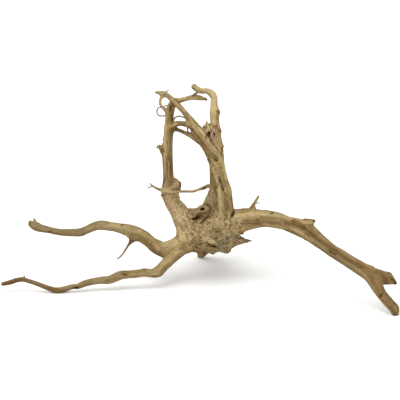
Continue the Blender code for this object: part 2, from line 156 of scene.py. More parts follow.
# Multiplied over the wood: painted shade on downward faces and in hollows, and dark patches that are
# partly the wood's own marks and partly painted shade
SHADE_AND_STAINS = [("underside_shade", (0.52, 0.43, 0.27), 0.75), ("hollow_shade", (0.4, 0.3, 0.17), 0.9),
          ("dark_and_shade", (0.36, 0.24, 0.115), 1.0)]
# Colour of the painted black shade deep in holes
HOLE_SHADE_COLOUR = (0.012, 0.006, 0.003)

# Stage: the floor, and each light's name, place, size and power
FLOOR_HALF = 9
FLOOR_COLOUR = (0.92, 0.92, 0.915, 1)
LIGHT_TARGET = (0, 0, 0.1)
LIGHTS = [("key", (-0.8, -0.9, 2.8), 2.8, 54), ("fill", (2.0, -1.8, 1.6), 2.0, 4)]

# Holes and hollows as in the solid model: across and up of both ends, radius, depth
DENTS = [
    (2.5, 133, 4, 133.3, 3.2, 7), (-8, 121, -3, 123, 3, 5), (-2, 122, 14, 124, 5, 2.5),
    (1, 116, 9, 120.5, 2.6, 3.5), (40, 125, 41.5, 129, 2.8, 6), (10, 138, 15, 132, 3, 3),
    (10, 226, 12, 231, 3.4, 6), (16, 222, 18, 227, 2.4, 3), (19, 195, 21, 194, 2.4, 3.5),
    (24, 173, 28, 163, 2, 2.6), (28, 162, 30, 154, 2, 2.6), (16, 204, 21, 197, 2.2, 2),
    (4, 90, 22, 86, 2.6, 5), (-4, 84, 8, 82, 2.4, 3), (226, 24, 227.5, 27, 2, 2.5),
    (160, 81, 168, 76, 2.4, 1.6), (118, 115, 130, 110, 3, 1.4), (89, 128, 91, 128, 2.2, 1.5),
    (-157, 35.5, -154, 36, 1.8, 1.2),
]

LIMBS = {
    "root_upper_left": [
        (-19, 92, 0, 12.5), (-34, 85.5, 0, 11), (-44, 83, 1, 10), (-53, 85.8, 2, 9.3),
        (-62.5, 92, 3.5, 7.7), (-71, 99, 5, 8.1), (-79, 102.6, 7, 8.5), (-91, 107.4, 10, 7),
        (-101, 109.7, 13, 5.9), (-112.5, 111.6, 16, 5.7), (-122.5, 113.2, 19, 6.1),
        (-129, 112.8, 21, 5.9), (-137.5, 109.7, 23, 5.3), (-145, 106.5, 25, 5.2), (-150, 104.7, 26, 5.3),
        (-156, 104.2, 27, 4.9), (-169, 104.3, 29, 4.3), (-180, 105.7, 31, 3.9), (-189, 107.7, 32, 4),
        (-197.5, 109.6, 33, 4.6), (-205, 112.4, 34, 5.6), (-211.4, 115.7, 35, 3.9),
    ],
    "root_lower_left": [
        (-10, 91, 0, 9), (-20, 86, -2, 7.8), (-28, 79.5, -4, 7.3), (-36.3, 72, -6, 7),
        (-43.6, 64.6, -8, 6.6), (-52.5, 55.6, -10, 6.6), (-61, 53.6, -11, 5.2), (-70, 54.2, -12, 4.9),
        (-80, 52.8, -13, 4.9), (-91, 51.7, -14, 5), (-100, 50.5, -15, 5.6), (-112.5, 45.4, -16, 4.9),
        (-122.5, 44.8, -17, 4.5), (-134, 43.2, -18, 4), (-145, 40.4, -19, 4), (-152.5, 37.1, -20, 3.6),
        (-160, 36.6, -20.5, 3.3), (-168, 34, -20.5, 3.7), (-177, 32.1, -20.8, 3.9),
        (-185.5, 33.8, -21, 3.4), (-195, 37.1, -22, 3), (-205.5, 41.1, -22, 2.9), (-215, 44, -21, 2.9),
        (-221, 45.7, -20, 3.1), (-230, 44.6, -20, 3), (-237.5, 42.1, -21, 2.9), (-246.8, 40, -22, 2.3),
    ],
    "root_right": [
        (30, 112, -6, 17), (45, 118, -8, 14.7), (56, 120.6, -10, 13.7), (68, 121.3, -12, 11.7),
        (77.5, 122.1, -14, 11), (87.5, 121.4, -18, 10.9), (97.5, 119.7, -22, 10.4),
        (107, 116.6, -26, 9.3), (117.5, 113.3, -31, 10), (129, 109, -36, 10.6), (137.5, 103, -41, 10.3),
        (148.5, 94.1, -47, 8.8), (159.5, 86, -54, 7.9), (167, 81, -58, 7.8), (174.5, 76.6, -62, 8),
        (186, 69.1, -68, 7.9), (200.5, 60.1, -75, 8.5), (212, 52.6, -80, 9), (220, 39, -83, 7.8),
        (226.2, 28, -86, 6.1), (234.4, 18.2, -89, 6.1), (241.9, 10, -91, 5.9), (243.9, 5, -91, 4.9),
    ],
    "stub_right": [
        (212, 53, -80, 8), (221, 50.6, -78, 8.1), (229, 49.1, -76, 7.4), (234.3, 48.8, -75, 6.7),
    ],
    "stub_point": [
        (226, 47.5, -76, 6), (236, 44.8, -74, 4.6), (241.5, 43.2, -73, 3.2), (245.2, 40.4, -73, 1.3),
    ],
    "stem_left": [
        (-8, 108, 0, 19), (-17.6, 115, 0, 13.9), (-26, 129, -1, 11.9), (-33, 139.7, -3, 10.1),
        (-36.1, 150, -5, 10.4), (-37.8, 157, -6, 9.2), (-39.4, 165, -8, 7.3), (-39.6, 174, -10, 6.8),
        (-40.2, 184, -13, 6.7), (-40.8, 200, -17, 6.5), (-40.6, 212, -20, 6.2), (-40, 223, -23, 6),
        (-39.4, 234, -26, 5.8), (-38.6, 246, -29, 5), (-37.6, 253, -31, 4.5), (-36.2, 259, -33, 4.8),
        (-34.5, 264.6, -35, 4.5), (-30, 268.4, -35, 3.9), (-25, 269.4, -33, 3.2), (-18.5, 271.1, -31, 3),
        (-10, 273.1, -29, 3.1), (-2.5, 273, -27, 3.5), (4, 271.8, -26, 2.3), (9, 270.3, -25, 1.2),
    ],
    "stem_right": [
        (12, 120, 8, 17), (16.6, 138, 4, 13.5), (19.8, 152, -2, 10.6), (20.8, 164, -6, 9.5),
        (21.1, 177, -10, 9.1), (21.1, 190, -13, 9), (21.8, 203, -16, 7.9), (21.3, 216, -19, 6.5),
        (20, 231, -22, 5.8), (19, 243, -24, 5.6), (18, 255, -27, 5.3), (17.6, 266, -30, 4.6),
        (17.3, 273.6, -32, 4.4), (13.8, 278.9, -35, 4.1), (9, 281.3, -37, 3.5), (2.5, 281.3, -40, 3.4),
        (-2.4, 283, -42, 3.6), (-7.3, 286.8, -44, 3.5),
    ],
    "strand_front": [
        (29, 118, -12, 14), (31.9, 132.5, -15, 10.8), (32.4, 144, -18, 9.2), (31, 156, -21, 9),
        (28.4, 168, -24, 7), (25.6, 180, -26, 6.3), (22.5, 191, -27, 7.5), (16.5, 202, -28, 8.4),
        (10.5, 213, -28, 8.1), (4.4, 222.6, -29, 6.7), (-2.2, 231.4, -31, 4.7), (-8, 238.8, -34, 3.7),
        (-12.3, 245.7, -36, 3.8), (-17.8, 252.7, -38, 3.4), (-23.8, 259.7, -40, 3.2),
        (-30.3, 266.6, -42, 3.1), (-35.4, 271.5, -44, 2.9), (-40.2, 275.3, -46, 2.6),
        (-45.5, 277.7, -48, 2.4), (-50, 278.9, -50, 2), (-55, 279.6, -51, 1.7),
    ],
    "strand_upper": [
        (-9.4, 239.6, -35, 1.6), (-3.4, 232.8, -35.5, 2.5), (4, 226.2, -35.5, 3.4), (10, 218.5, -36, 3.2),
        (16, 209, -36, 3), (21, 200, -35, 2.8), (25, 190.5, -33, 3), (27.6, 180, -30, 3.2),
        (29.5, 168, -28, 3.6), (32, 155, -26, 4),
    ],
    "strand_slim": [
        (13.5, 196, -25, 3.2), (18, 181, -28, 2.8), (22, 169, -31, 2.6), (25, 158, -30, 2.6),
        (26, 145, -27, 2.6), (26, 132.5, -26, 3), (26, 120, -22, 4),
    ],
    "bridge_low": [
        (5, 217.5, -27, 4.7), (-3.5, 220.8, -26, 4.2), (-10, 224.3, -25, 3.1), (-18, 228.3, -25, 2.4),
        (-25, 231.6, -25, 2.1), (-35, 235.6, -26, 2),
    ],
    "bridge_high": [
        (-6, 237, -33, 4), (-14, 238.6, -36, 3), (-20, 240.2, -36, 3), (-26, 240.7, -35, 3.2),
        (-31, 239.2, -33, 3.2), (-36, 235, -31, 3), (-39, 233, -29, 3),
    ],
    "bridge_web": [(-3, 228.5, -31, 4.6), (-9, 229.6, -30, 2)],
    "knots_right": [(19, 254.6, -28, 4.6), (23.7, 254.4, -30, 1.2)],
    "knots_middle": [(20, 231, -22, 4.8), (24.8, 231.2, -25, 1.2)],
    "knots_low": [(22, 212, -20, 5.8), (27.8, 212.3, -22, 1.2)],
    "crown": [(13, 210, -18, 7), (10.5, 222, -22, 6.8), (9.2, 231, -24, 5.4), (8.4, 237, -25, 3)],
    "knob_right": [(128, 111, -36, 8.8), (136, 116.3, -36, 4.4), (143, 119, -36, 1.6)],
    "knob_left": [(-37, 158, -6, 9), (-32.5, 162, -6, 8.2), (-31, 164, -6, 7)],
    "tap_root": [
        (10, 108, 12, 22), (14, 105, 32, 15.5), (19, 101, 46, 11.5), (21, 97, 58, 10), (17, 93, 70, 9.4),
        (10, 88, 80, 8), (5, 82, 88, 6.4), (2, 78, 94, 5), (0, 76, 98, 3.6),
    ],
    "tap_branch": [
        (20, 100, 52, 9), (26, 104, 64, 6.2), (30, 106, 74, 5), (37, 105, 82, 4.2), (43, 106, 87, 3),
    ],
    "rear_root": [
        (-4, 112, 14, 14), (-14, 116, 30, 9), (-19, 118, 42, 6.5), (-20, 115, 54, 4.6), (-16, 112, 64, 3),
    ],
    "burl_left": [(-8, 106, 2, 20.5), (-4, 97, 0, 15.5)],
    "saddle": [(-17, 121, 0, 11), (-9, 121.5, 0, 11.5), (0, 122.5, 2, 12), (4.6, 127.6, 2, 10)],
    "burl_mid": [(8, 107, -4, 26), (14, 100.6, -4, 21.6)],
    "burl_right": [(26, 106, -2, 22), (30, 98, -2, 16)],
    "burl_front": [(24, 118, -20, 8), (8, 112, -24, 7), (-8, 102, -18, 7), (-20, 96, -12, 6)],
    "flange": [(22, 97, -6, 13), (30, 91, -2, 9), (33.6, 83.6, 2, 5)],
    "spike_right": [(34, 97, -4, 8.4), (45.5, 94.6, -4, 6), (53.5, 94.2, -4, 4)],
    "nub_right": [(40, 108, -10, 6), (47.5, 105.5, -15, 3.4), (52.4, 104.5, -16, 2.6)],
    "nub_front": [(4, 102, -20, 8), (10, 96, -27, 3.8), (16, 92, -31, 2.8)],
    "root_spike_a": [(-2, 92, 10, 12), (-0.6, 82, 16, 5.5), (0.8, 77, 18, 2.6)],
    "root_spike_b": [(14, 90, 8, 10), (15, 81.6, 10, 4.6), (15.6, 78.6, 11, 2.4)],
}

TWIGS = {
    "hanging_twig": [
        (-45.6, 277.6, -48, 1.7), (-48.7, 272.3, -47, 1.6), (-49.8, 266.9, -45, 1.6),
        (-48.6, 262.6, -42, 1.6), (-45.2, 259.3, -38, 1.7), (-41.6, 255.5, -34, 1.7),
        (-38, 252, -31, 1.7),
    ],
    "cross_twig": [
        (24, 159.4, -24, 2.2), (15, 162.2, -28.5, 2), (9.4, 162.5, -29, 2.2), (5, 160.2, -28, 2.1),
        (-1.3, 158.2, -26, 1.5), (-8.8, 155.9, -24, 1.6), (-17.5, 155.7, -21.5, 1.5),
        (-27.5, 155.7, -19, 1.5), (-36.3, 155.1, -18.7, 1.6), (-43, 155.9, -16.8, 1.5),
        (-48.5, 157.2, -13.5, 1.4), (-53, 159, -12, 1.3), (-58.8, 162.3, -12, 1.2),
        (-63.1, 166.3, -12, 0.7),
    ],
    "cross_twig_fork": [(-56, 160.6, -12, 0.9), (-60, 162, -11.5, 0.9), (-66, 159.6, -10, 0.6)],
    "drop_twig": [
        (-83, 98.6, 8, 4.8), (-86.4, 93, 7, 2.4), (-89.2, 89, 5, 1.6), (-92.8, 83.4, 3, 1.3),
        (-97.2, 76.6, 0, 1.1), (-103.8, 70.6, -3, 0.8),
    ],
    "spur_twig": [
        (64.6, 129.6, -12, 4.4), (66.8, 138.6, -12, 2.1), (69.8, 144, -12, 1.8), (73, 149.8, -11, 1.3),
    ],
    "spur_hair": [(67.6, 140.4, -12, 0.6), (71.6, 141, -13, 0.6), (75, 141.7, -14, 0.5)],
    "curl": [
        (-13, 240.5, -37, 1), (-17.6, 246.6, -38, 0.9), (-22.5, 249.1, -38, 0.9), (-27, 249.5, -37, 0.9),
        (-31, 248.2, -36, 1), (-33, 244.6, -35, 1.1), (-32, 239.5, -33.5, 1.4),
    ],
    "top_sprig": [(-46, 278, -49, 0.8), (-42.4, 280.4, -49, 0.8), (-39.4, 282, -49, 0.7)],
    "rootlet_a": [
        (-47.6, 260.2, -41, 0.5), (-43.6, 262.6, -38, 0.6), (-40, 263.2, -36, 0.6), (-35, 262, -35, 0.7),
    ],
    "rootlet_b": [
        (-48, 261.3, -41, 0.7), (-52.3, 260, -42, 0.6), (-53.5, 257.5, -42, 0.6),
        (-53.6, 253.8, -41, 0.6), (-51.5, 250.6, -39, 0.6), (-47.5, 250, -35, 0.6),
        (-39, 250.5, -31, 0.6),
    ],
    "side_curl": [
        (-43, 203, -18, 1.8), (-48, 205.9, -19, 1.6), (-49.6, 210.4, -20, 1.7), (-51.8, 212.3, -21, 1.6),
        (-53.8, 210, -22, 1.3),
    ],
    "bridge_sprig": [(-13, 227, -26, 0.8), (-15.6, 232.5, -30, 0.9), (-14.5, 238, -35, 0.9)],
    "branch_sprig": [(-10, 274.6, -30, 1.4), (-5.8, 277.6, -34, 1.4), (-1.3, 280.4, -38, 1.2)],
    "tip_twig": [(-204, 113, 34, 2.4), (-206.4, 119, 34, 1.5), (-207.6, 122.2, 34, 0.9)],
    "root_spur": [(-219.5, 45, -20, 2), (-219.9, 50.4, -20, 0.7)],
    "spike_tip": [(48, 94.6, -4, 5), (56.6, 94, -4, 3.1), (64.4, 94, -4, 0.7)],
    "crown_splinter_a": [(6.4, 229, -27, 3.2), (8, 237, -27, 2.1), (8.6, 243.6, -26.5, 0.7)],
    "crown_splinter_b": [(3.6, 226, -27, 2.6), (3.6, 232, -28, 1.7), (4.2, 238, -28, 0.6)],
    "crown_splinter_c": [(12, 229, -24, 3), (12, 236, -24, 1.8), (11, 241.6, -24, 0.6)],
    "crown_splinter_d": [(9, 226, -29.5, 2.4), (6.2, 232, -31.5, 1.4), (6, 237, -31.5, 0.6)],
    "burl_splinter_a": [(2, 98, -22, 4.5), (10, 92, -29, 2.4), (22, 87.5, -31, 0.6)],
    "burl_splinter_b": [(4, 93, -19, 4), (12, 87, -24, 2.2), (21, 83.5, -25, 0.6)],
    "burl_splinter_c": [(-4, 90, -15, 4), (2, 84.5, -18, 2), (8, 81.5, -19, 0.6)],
    "flange_splinter": [(34, 91.5, -8, 4), (42, 90.6, -10, 2.6), (51, 90, -9, 0.7)],
}

# Twigs thick enough to be melted into the wood; the others are pieces of their own
MELTED = ["hanging_twig", "cross_twig", "drop_twig", "spur_twig", "side_curl"]

# Finer holes and cracks than the solid model has, listed in the same way
FINE_DENTS = [
    (2.2, 133, 4.2, 133.4, 2.1, 8), (-8.5, 120.6, -3.5, 122.8, 1.6, 6), (-3, 122.8, 1, 125, 1.6, 2),
    (1.5, 116, 5, 119, 1.3, 3), (5, 119, 11, 124, 1.2, 2.5), (39, 123.6, 40.4, 126.6, 1.5, 2.5),
    (7.6, 140, 11, 138.4, 1.1, 1.5), (12, 136.4, 14.6, 132, 1.0, 1.5), (9.4, 225, 10.8, 228.6, 2.0, 4),
    (16.6, 224, 17.6, 227, 1.3, 2.4), (8, 228.6, 17.4, 214, 1.3, 1.8), (17.4, 214, 26, 202.4, 1.1, 1.4),
    (13, 217, 15, 221, 1.4, 3), (20, 234, 21.4, 238, 1.2, 2.4), (19.6, 195.6, 21, 194.8, 1.2, 1.4),
    (24, 171, 25, 169, 0.9, 1), (28.2, 159, 29.2, 156, 1.0, 1.2), (16, 164.6, 22, 160, 1.0, 1.2),
    (8, 91.6, 13, 88.4, 1.3, 4), (13, 88.4, 19.4, 87, 1.3, 3), (3, 90.8, 8.6, 86.4, 1.0, 2.6),
    (-6, 84.6, 9, 82.4, 1.4, 3), (10, 81, 16, 83, 1.3, 3), (-156.8, 35.2, -153.8, 36, 1.3, 3),
    (-188, 106.4, -186.4, 105.8, 0.9, 1.6), (-98, 113.2, -96.4, 113.8, 0.9, 1.6),
    (226, 25, 227.2, 27, 0.8, 1.4), (162, 80.4, 169, 76.6, 0.9, 2.4), (88.6, 128, 91.4, 128.4, 1.1, 2.6),
    (131, 100.8, 135, 99.8, 1.0, 1.6), (-94.8, 52.4, -92.8, 51.4, 1.1, 1.8),
    (-71, 58.4, -68.6, 58.6, 1.0, 1.6), (-116.4, 44, -115, 44.4, 1.0, 1.6),
    (-110, 45.6, -108.6, 46.2, 0.8, 1.2), (-140, 39.2, -137.4, 38.6, 0.9, 1.4),
    (-36.6, 259.6, -36, 262.4, 1.4, 2.4), (-2.4, 224.4, 6.6, 212, 1.0, 0.9),
    (16.6, 214.6, 17.4, 214, 0.9, 1.6), (25, 191, 26.6, 189, 0.8, 1.2),
    (-38.6, 269.8, -31.4, 262.2, 0.9, 1.8), (-31, 271.2, -25.4, 265.8, 0.8, 1.2),
    (21.6, 255.6, 23, 254.2, 1.0, 1.6), (24, 231, 25, 233, 1.1, 2), (-27.5, 113.5, -26.5, 114, 0.9, 1.6),
    (-22.4, 108.6, -20.4, 106.6, 1.0, 2), (-18, 113.2, -16.8, 112.4, 0.8, 1.4),
    (-45, 166.4, -44, 171, 1.1, 1.8), (5, 160.2, 6.4, 160.4, 0.9, 1), (-24, 166.6, -24.6, 161, 1.4, 2.4),
    (-34, 158.4, -28, 157.6, 1.0, 1.4), (33.6, 96, 39.8, 100.6, 1.1, 2.2), (43, 91, 45, 95, 1.0, 1.6),
    (45, 95, 48, 96.6, 1.0, 1.4), (30, 91, 34.6, 91.6, 2.6, 1.4), (31.4, 81.6, 33, 83.4, 1.2, 1.2),
    (26, 101.4, 27.6, 101.2, 1.6, 1.2), (36, 93, 41, 97, 1.0, 1.2), (43, 93, 46, 97, 1.2, 2),
    (24, 90, 32, 92.6, 1.1, 1.6), (28, 84, 36, 86.6, 1.0, 1.4), (44, 108.4, 51, 109, 1.0, 1.6),
    (51, 105.2, 53, 104.6, 1.3, 1.6), (30, 119, 34, 125, 1.1, 1.4), (32, 113.6, 33, 113.6, 1.1, 1.6),
    (37, 113.6, 38, 113.4, 1.0, 1.4), (42, 112.2, 42.8, 112, 0.9, 1.2), (49, 129.4, 55, 129.2, 1.1, 1.6),
    (60, 118.4, 100, 115.6, 3.6, 0.9), (100, 115.6, 132, 108, 3.8, 1.4), (132, 108, 165, 81, 3.6, 1.4),
    (165, 81, 202, 60, 3.4, 1.2), (202, 60, 228, 50, 3.6, 0.9), (-35.6, 248, -35.8, 176, 3.4, 0.5),
    (232, 17, 241, 6, 2.4, 0.7),
]

# Ridges and rims, raised towards the front: across and up of both ends, radius, height
RIDGES = [
    (-8, 239, 4, 229, 1.8, 1.0), (4, 229, 14, 214.6, 1.6, 1.2), (14, 214.6, 23.6, 202, 1.5, 1.2),
    (-13, 127, -3, 129.6, 3.0, 1.1), (-3, 129.6, 8, 130.6, 2.8, 1.1), (-1, 136, 6, 137, 2.2, 0.9),
    (7, 135, 9, 131, 2.0, 0.9), (-7, 118.4, 1, 121.6, 2.4, 1.1), (9, 116, 15, 121, 2.6, 0.9),
    (24, 99.6, 38, 102, 2.0, 1.0), (23, 94, 33, 95.6, 2.0, 1.1), (33, 95.6, 42, 98.6, 2.0, 1.1),
    (26, 87.4, 36, 90, 2.0, 1.0), (30, 81, 38, 84.4, 2.0, 1.0), (46, 98, 53, 95, 1.8, 0.9),
    (28, 88, 40, 96, 1.6, 1.0), (34, 100, 44, 103, 1.6, 0.8), (38, 90, 44, 97.6, 1.5, 0.9),
    (22, 98, 32, 104, 1.8, 0.8), (47, 94.4, 51, 93.4, 1.5, 0.8), (48.6, 107.4, 53.6, 107, 1.4, 1.1),
    (49, 102.8, 54, 102.4, 1.4, 0.9), (66, 128.6, 98, 124.6, 3.2, 0.7), (98, 124.6, 126, 117.4, 3.2, 0.7),
    (146, 103, 172, 85, 2.8, 0.6), (172, 85, 208, 63.6, 2.8, 0.6), (60, 111.6, 96, 112.6, 3.0, 0.6),
    (96, 112.6, 128, 102, 3.0, 0.7), (128, 102, 158, 81, 2.8, 0.6), (158, 81, 200, 54.6, 2.8, 0.6),
    (-43, 250, -43.4, 180, 2.0, 0.6), (4, 97, 14, 92.4, 2.2, 1.1), (-38, 273, -22, 256.6, 1.7, 0.7),
    (-44, 92, -28, 96, 4.0, 0.6),
]

# Where the wood is lumpy and mottled like a burl: across and up of both ends, radius, strength
ROUGH_PATCHES = [
    (-38, 158, -26, 162, 9, 0.5), (-37, 152, -28, 128, 12, 0.55), (-28, 128, -14, 104, 18, 0.8),
    (-12, 118, -6, 98, 14, 0.9), (2, 112, 16, 98, 15, 1.0), (18, 138, 12, 150, 10, 0.7),
    (18, 122, 44, 112, 10, 0.9), (-6, 88, 18, 84, 9, 1.0), (22, 92, 44, 96, 12, 1.0),
    (13, 226, 19, 236, 6.5, 0.9),
]

# Patches of colour seen from the front: across and up of both ends, radius, strength
# The dark patches are mostly the wood's own dark marks; where the front strand crosses the top of the
# left stem they are painted shade under the strand and along its edges
DARK_PATCHES = [
    (-6, 123, 12, 127.4, 6, 0.7), (7, 139.4, 12, 138, 2, 0.7), (12, 137, 15, 132, 1.8, 0.6),
    (39, 123.6, 40.6, 127.4, 2.2, 0.8), (9, 224.6, 10.6, 230, 3.0, 1.0), (12.4, 222, 12.8, 226, 1.4, 0.8),
    (11, 229.6, 12.6, 233, 1.4, 0.7), (16.6, 223, 18, 227, 1.6, 0.85), (7.6, 230, 17.4, 214, 1.8, 0.6),
    (17.4, 214, 25.6, 202.6, 1.5, 0.5), (20, 226, 21, 232, 1.6, 0.6), (13.6, 214, 15, 218, 2, 0.5),
    (19.6, 195.8, 21, 194.8, 1.5, 0.85), (23.4, 171.6, 25, 168, 2.0, 0.55),
    (28, 160, 29.6, 154.6, 2.2, 0.5), (10, 204, 20, 198, 4, 0.4), (12, 196, 15, 188, 3.4, 0.45),
    (20, 188, 28, 178, 3, 0.3), (12, 184, 12.6, 168, 2.6, 0.4), (-38, 242, -36, 262, 4.4, 0.55),
    (-37, 258.6, -35.8, 262.8, 2.6, 0.9), (-38.6, 269.8, -31.4, 262.2, 0.9, 0.9),
    (-31, 271.2, -25.4, 265.8, 0.8, 0.6), (-44.6, 277.2, -43.4, 276.8, 1.3, 0.8),
    (-33, 269, -19, 253, 1.8, 0.35), (-22, 268.6, -20, 268, 2, 0.7), (6, 271, 8.4, 270.4, 1.5, 0.6),
    (-2, 273.6, 1, 274.4, 1.6, 0.5), (-10, 285, -8.4, 283.4, 1.6, 0.8), (-5, 84, 6, 77, 4.6, 0.6),
    (6, 80, 18, 79, 3, 0.5), (8, 91.4, 13, 88.2, 1.5, 0.95), (13, 88.2, 19.6, 86.8, 1.6, 0.9),
    (3, 90.6, 8.6, 86.2, 1.2, 0.8), (-8, 100, -6, 90, 3, 0.35), (76, 120.6, 92, 118.6, 3.2, 0.5),
    (56, 118.6, 76, 118, 4.4, 0.35), (90, 117.6, 110, 116, 3.4, 0.25), (108, 116.4, 124, 112, 3.4, 0.65),
    (124, 112, 142, 100, 4.4, 0.55), (142, 100, 170, 76.6, 4, 0.5), (170, 76.6, 186, 70, 4, 0.45),
    (162, 80.4, 169, 76.6, 1.1, 0.9), (186, 70, 204, 60, 4.4, 0.6), (204, 60, 224, 50, 4.6, 0.6),
    (224, 50, 234, 44, 4, 0.4), (150, 90, 228, 44, 12, 0.5), (226, 34, 242, 8, 8, 0.33),
    (-205, 113, -150, 104, 8, 0.42), (-250, 40, -226, 46, 6, 0.8), (-226, 46, -194, 34, 6, 0.65),
    (-194, 34, -176, 29, 6, 0.4), (-176, 29, -150, 37, 6, 0.36), (-150, 37, -92, 52, 6, 0.36),
    (-60, 58, -44, 70, 6, 0.28), (-88, 94, -104, 71, 2.4, 1.0), (-49, 213, -46, 206, 2.6, 0.75),
    (-121, 113.4, -118.6, 114, 0.9, 0.5), (225.6, 24.6, 227.6, 27.2, 1.6, 0.75),
    (240, 10, 244, 3, 3.4, 0.5), (236, 53.4, 244.6, 40.4, 2.6, 0.9), (141, 119, 143.4, 118.4, 2, 0.8),
    (128.6, 120.6, 138, 120, 1.4, 0.5), (64, 136, 66, 140, 2, 0.5), (-47, 74.6, -62, 84, 3.6, 0.55),
    (-60, 86, -76, 96, 3.6, 0.45), (-84, 94, -88, 91, 3, 0.5), (-144, 101.6, -170, 100.6, 2.4, 0.45),
    (-170, 101, -200, 105.6, 2.2, 0.4), (-190, 106, -185, 105, 1.4, 0.8),
    (-213.6, 118, -211.6, 113.4, 2, 0.7), (-98.6, 113, -96, 114, 1.2, 0.8),
    (-158.4, 34.6, -152.6, 35.8, 1.8, 1.0), (-192, 35.4, -170, 31.4, 2.4, 0.6),
    (-218, 41.6, -194, 34.6, 1.8, 0.45), (-97, 53, -92, 51, 1.8, 0.8), (-100, 57, -92, 56.4, 1.4, 0.7),
    (-118, 44.4, -106, 46.6, 2, 0.55), (-72, 58.6, -67.6, 59, 1.4, 0.9), (-59, 49.6, -53, 49, 1.8, 0.6),
    (-90, 49, -78, 49.6, 1.6, 0.4), (-246, 40, -240, 41, 2.2, 0.6), (-34.8, 250, -35, 178, 4.2, 0.36),
    (3.6, 160, 6.8, 160.4, 1.7, 0.9), (-37, 232, -31, 235.4, 2.2, 0.6), (-30, 233, -22, 229.6, 1.6, 0.6),
    (-16, 236, -10, 233, 2, 0.5), (-24.6, 167, -24, 160.6, 1.8, 0.95), (-46, 166, -43.6, 172, 2, 0.6),
    (-40, 163, -34, 167, 2.6, 0.45), (-36, 156.4, -26, 157.4, 1.5, 0.5), (43, 92, 46, 97.4, 2, 0.6),
    (26, 96.4, 40, 100, 1.2, 0.6), (24, 90, 33, 92.4, 1.2, 0.5), (54, 94, 62, 94, 2, 0.4),
    (15, 108.6, 25, 105, 4.2, 0.5), (14, 102, 22, 100, 3.4, 0.3), (-8, 112, 14, 98, 13, 0.14),
    (33.6, 96, 39.8, 100.6, 1.3, 0.9), (43, 91, 45, 95, 1.4, 0.85), (45, 95, 48.4, 96.8, 1.2, 0.85),
    (26, 92, 30, 96, 1.4, 0.4), (22, 98, 26, 94, 2.0, 0.4), (30, 91, 34.6, 91.6, 2.6, 0.3),
    (31.4, 81.6, 33, 83.4, 1.2, 0.5), (26, 101.4, 27.6, 101.2, 1.6, 0.5), (34, 77.6, 43, 87, 1.4, 0.55),
    (22, 80, 30, 78, 1.2, 0.5), (32, 113.6, 33, 113.6, 1.1, 0.7), (37, 113.6, 38, 113.4, 1.0, 0.7),
    (42, 112.2, 42.8, 112, 0.9, 0.6), (48.8, 106.2, 49.4, 104, 0.8, 0.75),
    (49.4, 104, 51.8, 103, 0.8, 0.8), (51.8, 103, 54, 104.4, 0.8, 0.75),
    (54, 104.4, 53.4, 106.8, 0.7, 0.6), (17, 238, 18.2, 237.6, 0.9, 0.7),
    (22.6, 255.8, 23.4, 254, 0.8, 0.7), (23.6, 232, 24.6, 229.6, 1.2, 0.7),
    (26.4, 210, 27.4, 205, 1.0, 0.6), (5, 233, 9, 226, 1.8, 0.8), (22, 226, 24, 214, 1.0, 0.4),
    (15, 214, 18, 206, 1.2, 0.35), (31, 150, 36, 132, 1.6, 0.3), (28, 176, 32, 160, 1.4, 0.3),
    (14, 164, 22, 160, 1.4, 0.5), (-23, 112, -17, 112, 2.6, 0.4), (118, 117, 129, 111, 5, 0.85),
    (198, 66, 213, 52, 6, 0.75), (218, 42, 227, 33, 4, 0.5), (-148, 39, -137, 43, 5, 0.6),
    (-48, 80, -30, 74, 5, 0.35), (-69, 105, -60, 96, 5, 0.35), (-131, 116, -116, 117, 4, 0.4),
    (2, 216, 9, 208, 4, 0.55), (-28, 241, -20, 239.4, 2.6, 0.55), (-15, 247, -10, 239, 2.4, 0.35),
    (-5, 236, 2, 226, 2.4, 0.35), (22, 139, 29, 124, 4, 0.4), (38, 146, 41, 130, 3, 0.4),
    (4, 118, 16, 113, 4, 0.3), (22, 98, 34, 104, 3, 0.3), (-44, 190, -39, 164, 3, 0.35),
    (60, 124, 66, 122, 3, 0.35), (152, 89, 166, 80, 4, 0.5), (85, 121, 104, 118, 4, 0.35),
    (-10, 234, -2.4, 224.4, 1.2, 0.7), (-2.4, 224.4, 6.6, 212, 1.4, 0.65), (3, 216, 8, 211, 2.2, 0.6),
    (6.4, 223.2, 7, 222.6, 0.9, 0.8), (16.6, 214.6, 17.4, 214, 1.2, 0.8),
    (10.6, 196.4, 12, 194.4, 1.4, 0.8), (25, 191, 26.6, 189, 0.8, 0.85),
    (24.4, 186, 27.4, 184.8, 0.8, 0.85), (19.6, 206, 23, 203, 0.8, 0.75),
    (3.4, 235.4, 8, 230.4, 0.7, 0.7), (6, 238.4, 10.4, 232.4, 0.7, 0.7),
    (9, 240.4, 12.6, 234.4, 0.7, 0.6), (-36, 234.4, -28, 238.4, 0.9, 0.75),
    (-35, 242, -33.8, 250, 1.4, 0.6), (-26, 240.2, -17, 237.4, 1.0, 0.75),
]
GREY_PATCHES = [
    (24, 96, 42, 98, 8, 0.65), (26, 84, 40, 90, 7, 0.75), (44, 96, 62, 94, 4.4, 0.4),
    (10, 150, 19, 136, 8, 0.4), (-150, 103, -190, 107, 5, 0.4), (-122, 114.6, -114, 114.4, 2.6, 0.45),
    (-85, 108, -80, 105, 3, 0.5), (-250, 40, -226, 46, 5, 0.5), (-226, 46, -194, 34, 5, 0.5),
    (-214, 116, -198, 110, 7, 0.5), (-205, 112, -140, 104, 6, 0.6), (-140, 108, -90, 108, 5, 0.55),
    (-170, 32, -100, 50, 6, 0.6), (-100, 47, -60, 50, 3, 0.5), (100, 104, 128, 99, 2.2, 0.5),
    (140, 92, 204, 50, 2.2, 0.6), (-56, 280, -42, 278, 3.4, 0.9), (22, 160, 23, 130, 2.2, 0.3),
    (84, 127, 100, 126.4, 2.6, 0.5), (-131, 116, -112, 115, 4, 0.5),
]
